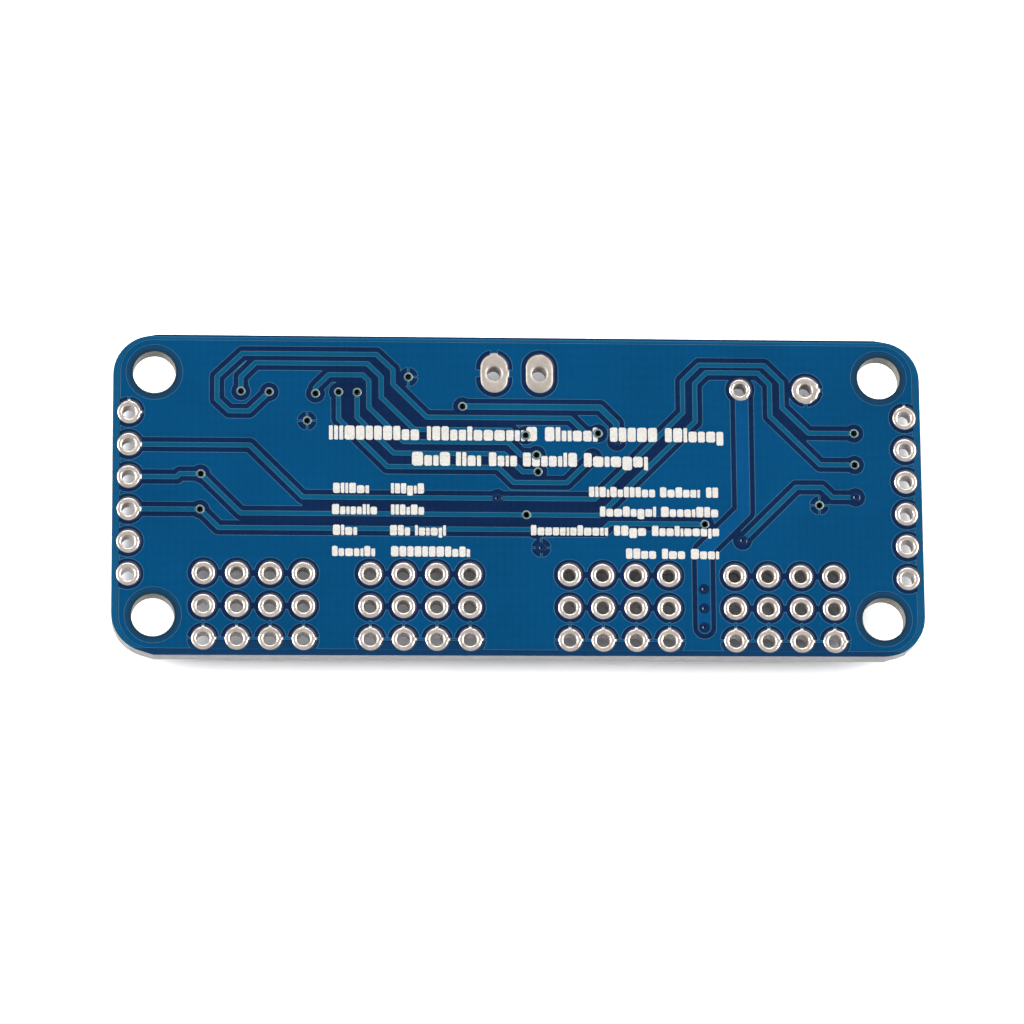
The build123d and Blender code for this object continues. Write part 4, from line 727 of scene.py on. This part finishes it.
def slab(name, V, F, z_top, z_bot, mats, idx, side_idx, sign=1):
    """Closed sheet: relief on the outside, flat inside, walls on every open edge."""
    n = len(V)
    up_v = np.c_[V, z_top] * MM
    dn_v = np.c_[V, z_bot] * MM
    edge = {}
    for tri in F.tolist():
        for p, q in ((tri[0], tri[1]), (tri[1], tri[2]), (tri[2], tri[0])):
            if (q, p) in edge:
                del edge[(q, p)]
            else:
                edge[(p, q)] = True
    walls = [(q, p, p + n, q + n) for p, q in edge]
    top = F.tolist()
    bot = (F[:, ::-1] + n).tolist()
    faces = top + bot + walls
    ids = list(idx) + [side_idx] * (len(bot) + len(walls))
    if sign < 0:
        faces = [tuple(reversed(f)) for f in faces]
    return new_object(name, np.vstack([up_v, dn_v]).tolist(), faces, mats, ids)


def ccw(L):
    x, y = L[:, 0], L[:, 1]
    return L if (x * np.roll(y, -1) - np.roll(x, -1) * y).sum() > 0 else L[::-1]


def tessellate(layers):
    """Triangulate a set of overlapping outline layers and say, exactly, which layers hold each triangle."""
    vs, fs, tag = [], [], []
    for name, loops in layers.items():
        for L in loops:
            L = ccw(np.asarray(L, float))
            k = len(vs)
            vs += [Vector((float(x), float(y))) for x, y in L]
            fs.append(list(range(k, k + len(L))))
            tag.append(name)
    V, E, F, _, _, OF = delaunay_2d_cdt(vs, [], fs, 0, 1e-5)
    V = np.array([(v.x, v.y) for v in V])
    names = list(layers)
    col = {n: i for i, n in enumerate(names)}
    ins = np.zeros((len(F), len(names)), bool)
    for i, of in enumerate(OF):
        for f in of:
            ins[i, col[tag[f]]] ^= True
    tri = np.array([len(f) == 3 for f in F])
    ins = ins[tri]
    F = np.array([f for f in F if len(f) == 3])
    a = V[F]
    area2 = (a[:, 1, 0] - a[:, 0, 0]) * (a[:, 2, 1] - a[:, 0, 1]) - (a[:, 1, 1] - a[:, 0, 1]) * (a[:, 2, 0] - a[:, 0, 0])
    F[area2 < 0] = F[area2 < 0][:, ::-1]
    ok = np.abs(area2) > 1e-10
    return V, F[ok], {n: ins[ok, col[n]] for n in names}


def use(V, F):
    used = np.unique(F)
    remap = -np.ones(len(V), int)
    remap[used] = np.arange(len(used))
    return V[used], remap[F]


def circle(x, y, r, n):
    a = np.arange(n) * 2 * math.pi / n
    return np.c_[x + r * np.cos(a), y + r * np.sin(a)]


def smooth01(t):
    t = np.clip(t, 0, 1)
    return t * t * (3 - 2 * t)


# centres of the vias, from their nodes
def centres(node, r_hole):
    """Centres and pad radii of the ring-shaped solids of a node, from their top outlines."""
    out = []
    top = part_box(node)[1].z / MM
    for L in plane_loops(node, top):
        c = (L.max(0) + L.min(0)) / 2
        r = (L.max(0) - L.min(0)).max() / 2
        if r > r_hole * 1.25:
            out.append((float(c[0]), float(c[1]), float(r)))
    return sorted(out)


VIA_OPEN = centres("open_vias", 0.17)
VIA_TENT = centres("tented_vias", 0.17)

zc = ZT + 0.035
loops_pour = plane_loops("ground_pour_solder_side", zc)
loops_track = plane_loops("signal_tracks_solder_side", zc)
loops_trunk = plane_loops("supply_trunk_solder_side", zc)
loops_film = plane_loops("solder_mask_solder_side", ZT + MASK_T)
print("loops", len(loops_pour), len(loops_track), len(loops_trunk), len(loops_film), len(VIA_OPEN), len(VIA_TENT))

X, Y = np.meshgrid(gx, gy)
sd_pour = sdf_grid(loops_pour)
sd_track = sdf_grid(loops_track)
sd_trunk = sdf_grid(loops_trunk)
sd_via = np.full_like(sd_pour, 0.30)
for x, y, r in VIA_OPEN + VIA_TENT:
    sd_via = np.minimum(sd_via, np.hypot(X - x, Y - y) - 0.36)
sd_pad = np.full_like(sd_pour, 0.30)
PADS = []
for node, rh in (("servo_signal_pads", .5), ("servo_power_pads", .5), ("servo_ground_pads", .5),
                 ("left_breakout_pads", .5), ("right_breakout_pads", .5), ("capacitor_pads", .5)):
    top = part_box(node)[1].z / MM
    for L in plane_loops(node, top):
        c, r = (L.max(0) + L.min(0)) / 2, (L.max(0) - L.min(0)).max() / 2
        if r > rh * 1.3:
            PADS.append((node, float(c[0]), float(c[1]), float(r) + 0.008))
            sd_pad = np.minimum(sd_pad, np.hypot(X - c[0], Y - c[1]) - r - 0.025)
OVALS = []
for L in plane_loops("terminal_pads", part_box("terminal_pads")[1].z / MM):
    c, w = (L.max(0) + L.min(0)) / 2, (L.max(0) - L.min(0)) + 0.05
    if w[0] > 1.5:
        OVALS.append((float(c[0]), float(c[1]), float(w[0]), float(w[1])))
        dy = np.maximum(np.abs(Y - c[1]) - (w[1] - w[0]) / 2, 0)
        sd_pad = np.minimum(sd_pad, np.hypot(X - c[0], dy) - w[0] / 2)
sd_cu = np.minimum(np.minimum(np.minimum(sd_pour, sd_track), np.minimum(sd_trunk, sd_via)), sd_pad)

L_TOP, L_MID, L_FOOT = -0.048, -0.008, 0.034
H_HI, H_LO = MASK_T, 0.0375


def film_height(x, y):
    c = sample(sd_cu, x, y)
    h = H_LO + (H_HI - H_LO) * smooth01((L_FOOT - c) / (L_FOOT - L_TOP))
    for vx, vy, _ in VIA_TENT:
        r = np.hypot(x - vx, y - vy)
        h = h - 0.034 * smooth01((0.20 - r) / 0.16)
    return h


print("padset", len(PADS), len(OVALS))
cont = {"top": contours(sd_cu, L_TOP), "mid": contours(sd_cu, L_MID), "foot": contours(sd_cu, L_FOOT)}
dimples = [circle(x, y, r, n) for x, y, _ in VIA_TENT for r, n in ((0.21, 28), (0.16, 24), (0.11, 20), (0.06, 12))]
print("contours", {k: (len(v), sum(len(q) for q in v)) for k, v in cont.items()})
film_loops = [simplify(L, 0.003) for L in loops_film]
border = []
for qx, qy, a0 in ((1, 1, 0.0), (-1, 1, 90.0), (-1, -1, 180.0), (1, -1, 270.0)):
    for s_ in range(25):
        a_ = math.radians(a0 + 90.0 * s_ / 24)
        border.append((qx * 28.05 + 2.52 * math.cos(a_), qy * 9.62 + 2.52 * math.sin(a_)))
V, F, INS = tessellate({"film": film_loops, "top": cont["top"], "mid": cont["mid"], "foot": cont["foot"], "dim": dimples,
                        "border": [np.array(border)]})
keep = INS["film"]
F = F[keep]
for k in INS:
    INS[k] = INS[k][keep]
V, F = use(V, F)
C = V[F].mean(1)
c_tri = sample(sd_cu, C[:, 0], C[:, 1])
p_tri = sample(sd_pour, C[:, 0], C[:, 1])
t_tri = sample(sd_track, C[:, 0], C[:, 1])
k_tri = sample(sd_trunk, C[:, 0], C[:, 1])
idx = np.zeros(len(F), int)
IDX = {"mask_pour": 0, "mask_track": 1, "mask_trunk": 2, "mask_bare": 3, "mask_edge": 4, "mask_margin": 5,
       "mask_tent": 6, "mask_dot": 7, "mask_side": 8, "mask_foot": 9, "mask_ring": 10}
MAT["mask_trunk"] = lacquer("lacquer_over_trunk", lin(5, 78, 128), lin(8, 92, 150), 0.08)
on_top = INS["top"]
ramp_ = INS["foot"] & ~INS["top"]
idx[:] = IDX["mask_bare"]
idx[on_top] = IDX["mask_pour"]
idx[on_top & (t_tri < p_tri) & (t_tri < k_tri)] = IDX["mask_track"]
idx[on_top & (k_tri < p_tri) & (k_tri < t_tri)] = IDX["mask_trunk"]
# painted highlight: the lighter edge lacquer on the upper half of each slope
idx[ramp_ & INS["mid"]] = IDX["mask_edge"]
idx[ramp_ & ~INS["mid"]] = IDX["mask_foot"]
idx[~INS["foot"] & ~INS["border"]] = IDX["mask_margin"]
idx[~INS["foot"] & (C[:, 1] < -11.0) & (np.abs(C[:, 0]) < 25.8)] = IDX["mask_margin"]
ring = np.hypot(np.abs(C[:, 0]) - 27.94, np.abs(C[:, 1]) - 9.525) < 2.6
idx[~INS["foot"] & INS["border"] & ring] = IDX["mask_ring"]
for vx, vy, _ in VIA_TENT:
    r = np.hypot(C[:, 0] - vx, C[:, 1] - vy)
    idx[(r < 0.44) & ramp_] = IDX["mask_foot"]
    idx[r < 0.34] = IDX["mask_tent"]
    # painted shade: the dark dot at the centre of each tented via
    idx[r < 0.115] = IDX["mask_dot"]
zt = ZT + film_height(V[:, 0], V[:, 1])
mats = [MAT[k] for k in IDX]
film = slab("solder_mask_relief", V, F, zt, np.full(len(V), ZT - 0.002), mats, idx, IDX["mask_side"])
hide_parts("solder_mask_solder_side")
print("film", len(V), len(F))

# ------------------------------------------------------------------ plated pads
def in_opening(x, y, cx, cy, r):
    """True where the lacquer is open round a pad (the film lies slightly off)."""
    return math.hypot(x - cx - 0.05, y - cy - 0.05) < r + 0.08


def pad_outline(cx, cy, r_pad, n, seed, oval=None):
    """Outer edge of the tin at n angles: the pad, plus whatever copper its lacquer opening bares."""
    rg = random.Random(seed)
    ph = [rg.uniform(0, 6.28) for _ in range(4)]
    out = []
    for i in range(n):
        a = 2 * math.pi * i / n
        ca, sa = math.cos(a), math.sin(a)
        if oval is None:
            r0 = r_pad
            ro = 0.05 * (ca + sa) + math.sqrt(max((r_pad + 0.08) ** 2 - (0.05 * (sa - ca)) ** 2, 0))
        else:
            w, h = oval
            hw, hs = w / 2, (h - w) / 2
            # distance to an upright slot from its centre
            t = hw / abs(ca) if abs(ca) > 1e-6 else 1e9
            if t * abs(sa) <= hs:
                r0 = t
            else:
                b = hs * abs(sa)
                r0 = b + math.sqrt(b * b - hs * hs + hw * hw)
            ro = r0 + 0.08 + 0.05 * (ca + sa)
        r = r0 - 0.004 + 0.010 * math.sin(3 * a + ph[0]) * 0.4 + 0.006 * math.sin(7 * a + ph[1]) * 0.5
        if ro > r0 + 0.02:
            m = (r0 + ro) / 2
            px, py = cx + m * ca, cy + m * sa
            cu = min(float(sample(sd_pour, px, py)), float(sample(sd_track, px, py)), float(sample(sd_trunk, px, py)))
            if cu < 0.03:
                k = min(1.0, (0.03 - cu) / 0.10)
                r = max(r, r0 + (ro - r0 + 0.02) * k)
        for bx, by, ba, bh in BURRS:
            if abs(bx - cx) < 0.2 and abs(by - cy) < 0.2:
                da = (a - math.radians(ba) + math.pi) % (2 * math.pi) - math.pi
                r = max(r, r0 + bh * math.exp(-(da / 0.11) ** 2))
        out.append(r)
    out = np.array(out)
    return 0.25 * np.roll(out, 1) + 0.5 * out + 0.25 * np.roll(out, -1)


BURRS = [(24.13, -11.303, 48, 0.13), (24.13, -11.303, 92, 0.13), (22.23, 8.51, 2, 0.14), (22.23, 8.51, 28, 0.07),
         (22.23, 8.51, -72, 0.10), (22.23, 8.51, -38, 0.05), (-1.84, 9.64, 84, 0.10), (-1.84, 9.64, 8, 0.05), (1.66, 9.64, 82, 0.05),
         (-29.87, 6.35, 88, 0.08), (29.87, 6.35, 86, 0.07)]


def lathe_pads(name, specs, node, mats):
    """Domed tin on the upper land, the plated barrel, and the domed land below."""
    verts, faces, idx = [], [], []
    for cx, cy, r_hole, r_pad, oval, seed in specs:
        n = 96 if oval is None else 128
        rg = random.Random(seed * 7 + 3)
        tilt, ta = rg.uniform(0.0, 0.10), rg.uniform(0, 6.28)
        full = rg.uniform(0.90, 1.0)
        R = pad_outline(cx, cy, r_pad, n, seed, oval)
        base = len(verts)
        ang = np.arange(n) * 2 * math.pi / n
        # profile from the outer foot to the barrel: fraction across the land, height above the laminate
        prof = [(1.000, 0.000), (1.000, 0.014), (0.985, 0.022), (0.935, 0.038), (0.875, 0.053), (0.81, 0.0645), (0.73, 0.0725),
                (0.62, 0.0770), (0.50, 0.0785), (0.40, 0.0770), (0.31, 0.0725), (0.225, 0.0620), (0.15, 0.0460), (0.085, 0.0270),
                (0.030, 0.0060)]
        rings = []
        for f, h in prof:
            rr = r_hole + (R - r_hole) * f
            hh = h * (1.0 if h < 0.04 else full) * (1 + (tilt * np.cos(ang - ta) * (0.5 if h > 0.04 else 0.0)))
            rings.append((rr, ZT + np.minimum(hh, 0.0795)))
        wob = 0.006 * np.sin(2 * ang + ta)
        for z in np.linspace(ZT - 0.06, ZB + 0.06, 9):
            rings.append((np.full(n, r_hole) + wob, np.full(n, z)))
        Rb = np.full(n, r_pad) if oval is None else R
        for f, h in reversed(prof):
            rings.append((r_hole + (Rb - r_hole) * f, np.full(n, ZB - h * 0.93)))
        for rr, zz in rings:
            for i in range(n):
                verts.append(((cx + rr[i] * math.cos(ang[i])) * MM, (cy + rr[i] * math.sin(ang[i])) * MM, float(zz[i]) * MM))
        m = len(rings)
        for k in range(m):
            k2 = (k + 1) % m
            for i in range(n):
                i2 = (i + 1) % n
                faces.append((base + k * n + i, base + k * n + i2, base + k2 * n + i2, base + k2 * n + i))
                idx.append(1 if len(prof) <= k < m - len(prof) - 1 else 0)
    o = new_object(name, verts, [tuple(reversed(f)) for f in faces], mats, idx, True)
    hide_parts(node)
    return o


seed = 1
for node in ("servo_signal_pads", "servo_power_pads", "servo_ground_pads", "left_breakout_pads", "right_breakout_pads",
             "capacitor_pads"):
    sp = []
    for nd, x, y, r in PADS:
        if nd == node:
            sp.append((x, y, 0.50, r, None, seed))
            seed += 1
    lathe_pads(node + "_tinned", sp, node, [MAT["tin"], MAT["tin_barrel"]])
lathe_pads("terminal_pads_tinned", [(x, y, 0.55, 0, (w, h), 90 + i) for i, (x, y, w, h) in enumerate(OVALS)],
           "terminal_pads", [MAT["tin_matt"], MAT["tin_barrel"]])


# ------------------------------------------------------------------ white marks, laid over the relief
ink_loops = plane_loops("printed_marks_solder_side", ZT + INK_T)
print("ink loops", len(ink_loops))
rg = np.random.default_rng(99)
rough_ink = []
for L in ink_loops:
    # resample so that the printed edge can waver slightly
    P = []
    for a, b in zip(L, np.roll(L, -1, 0)):
        k = max(1, int(math.hypot(*(b - a)) / 0.10))
        for s in range(k):
            P.append(a + (b - a) * s / k)
    P = np.array(P)
    c = P.mean(0)
    wv = 0.011 * np.sin(P[:, 0] * 23.0 + P[:, 1] * 31.0) + rg.normal(0, 0.004, len(P))
    d = P - c
    d /= np.maximum(np.hypot(d[:, 0], d[:, 1])[:, None], 1e-6)
    rough_ink.append(P + d * wv[:, None])
V, F, INS = tessellate({"ink": rough_ink, "top": cont["top"], "mid": cont["mid"], "foot": cont["foot"]})
F = F[INS["ink"]]
V, F = use(V, F)
hz = film_height(V[:, 0], V[:, 1])
ink = slab("printed_marks_laid", V, F, ZT + np.minimum(hz + 0.018, 0.0795), ZT + hz - 0.010, [MAT["ink"]], np.zeros(len(F), int), 0)
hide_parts("printed_marks_solder_side")
print("ink", len(V), len(F))

# ------------------------------------------------------------------ vias
def lathe_vias(name, pts, node, top_h, mats):
    verts, faces, idx = [], [], []
    n = 40
    ang = np.arange(n) * 2 * math.pi / n
    for j, (cx, cy, _) in enumerate(pts):
        base = len(verts)
        prof = [(0.355, 0.0), (0.355, top_h * 0.75), (0.345, top_h * 0.94), (0.325, top_h), (0.250, top_h), (0.215, top_h * 0.90),
                (0.186, top_h * 0.62), (0.172, 0.0)]
        rings = [(r, ZT + h) for r, h in prof] + [(0.17, z) for z in np.linspace(ZT - 0.05, ZB + 0.05, 5)]
        rings += [(r, ZB - min(h, 0.035)) for r, h in reversed(prof)]
        for r, z in rings:
            for a in ang:
                verts.append(((cx + r * math.cos(a)) * MM, (cy + r * math.sin(a)) * MM, z * MM))
        m = len(rings)
        for k in range(m):
            k2 = (k + 1) % m
            for i in range(n):
                i2 = (i + 1) % n
                faces.append((base + k * n + i, base + k2 * n + i, base + k2 * n + i2, base + k * n + i2))
                idx.append(1 if 4 <= k < m - 5 else 0)
    o = new_object(name, verts, faces, mats, idx, True)
    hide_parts(node)
    return o


# painted shade: the via barrels are near-black metal, so the small holes read dark
MAT["via_dark"] = simple("via_barrel_painted_shade", raw(20, 22, 26), raw(44, 44, 46), (0.4, 0.6), 1.0, 9.0, 0.3, 0.02)
lathe_vias("open_vias_plated", VIA_OPEN, "open_vias", 0.050, [MAT["via_tin"], MAT["via_dark"]])
lathe_vias("tented_vias_plated", VIA_TENT, "tented_vias", 0.035, [MAT["copper"], MAT["via_dark"]])

# ------------------------------------------------------------------ finishes of the carried-over nodes
m = M("levelled_copper")        # solder-side copper: tinned where the lacquer leaves its top bare
sp = m.t.nodes.new("ShaderNodeSeparateXYZ")
m.t.links.new(m.p, sp.inputs[0])
topside = m.math("GREATER_THAN", sp.outputs[2], ZT + 0.030)
grain = m.noise(6.0, 4.0, 0.6)
m.link(m.mix(topside, m.mix(grain, raw(176, 104, 74), raw(214, 138, 104)), m.mix(grain, raw(160, 152, 144), raw(192, 184, 177))), "Base Color")
m.link(m.rng(m.noise(9.0, 3.0, 0.6), 0.26, 0.38), "Roughness")
m.set(Metallic=0.7)
m.bump(m.noise(14.0, 4.0, 0.6), 0.15, 0.02)
MAT["copper_tinned"] = m.m
FINISH = {
    "laminate": "fr4", "ground_pour_solder_side": "copper_tinned", "signal_tracks_solder_side": "copper_tinned",
    "supply_trunk_solder_side": "copper_tinned", "ground_pour_component_side": "copper", "signal_tracks_component_side": "copper",
    "supply_bus_component_side": "copper", "supply_input_copper": "copper", "supply_output_copper": "copper",
    "solder_mask_component_side": "mask_pour", "printed_marks_component_side": "ink", "surface_pads": "tin",
    "pwm_chip_body": "mould", "pwm_chip_leads": "lead", "transistor_body": "mould", "transistor_tab": "lead",
    "transistor_leads": "lead", "resistor_array_bodies": "alumina", "resistor_array_terminals": "terminal",
    "resistor_array_coats": "glaze", "resistor_bodies": "alumina", "resistor_terminals": "terminal",
    "resistor_coats": "glaze", "ceramic_capacitor_bodies": "mlcc", "ceramic_capacitor_terminals": "terminal",
    "lamp_base": "white_mould", "lamp_lens": "resin", "lamp_terminals": "terminal", "solder_fillets": "solder",
}
for node, mat in FINISH.items():
    me = NODES[node].data
    if len(me.materials) == 0:
        me.materials.append(MAT[mat])
    for i in range(len(me.materials)):
        me.materials[i] = MAT[mat]


def bevel(node, width_mm, segments=2, angle=40):
    md = NODES[node].modifiers.new("edge", "BEVEL")
    md.width = width_mm * MM
    md.segments = segments
    md.limit_method = "ANGLE"
    md.angle_limit = math.radians(angle)
    md.harden_normals = False


for node, w in (("pwm_chip_body", 0.05), ("transistor_body", 0.08), ("ceramic_capacitor_bodies", 0.05),
                ("resistor_array_bodies", 0.02), ("transistor_tab", 0.03), ("lamp_lens", 0.04)):
    bevel(node, w)

# ------------------------------------------------------------------ final update of the view layer
bpy.context.view_layer.update()
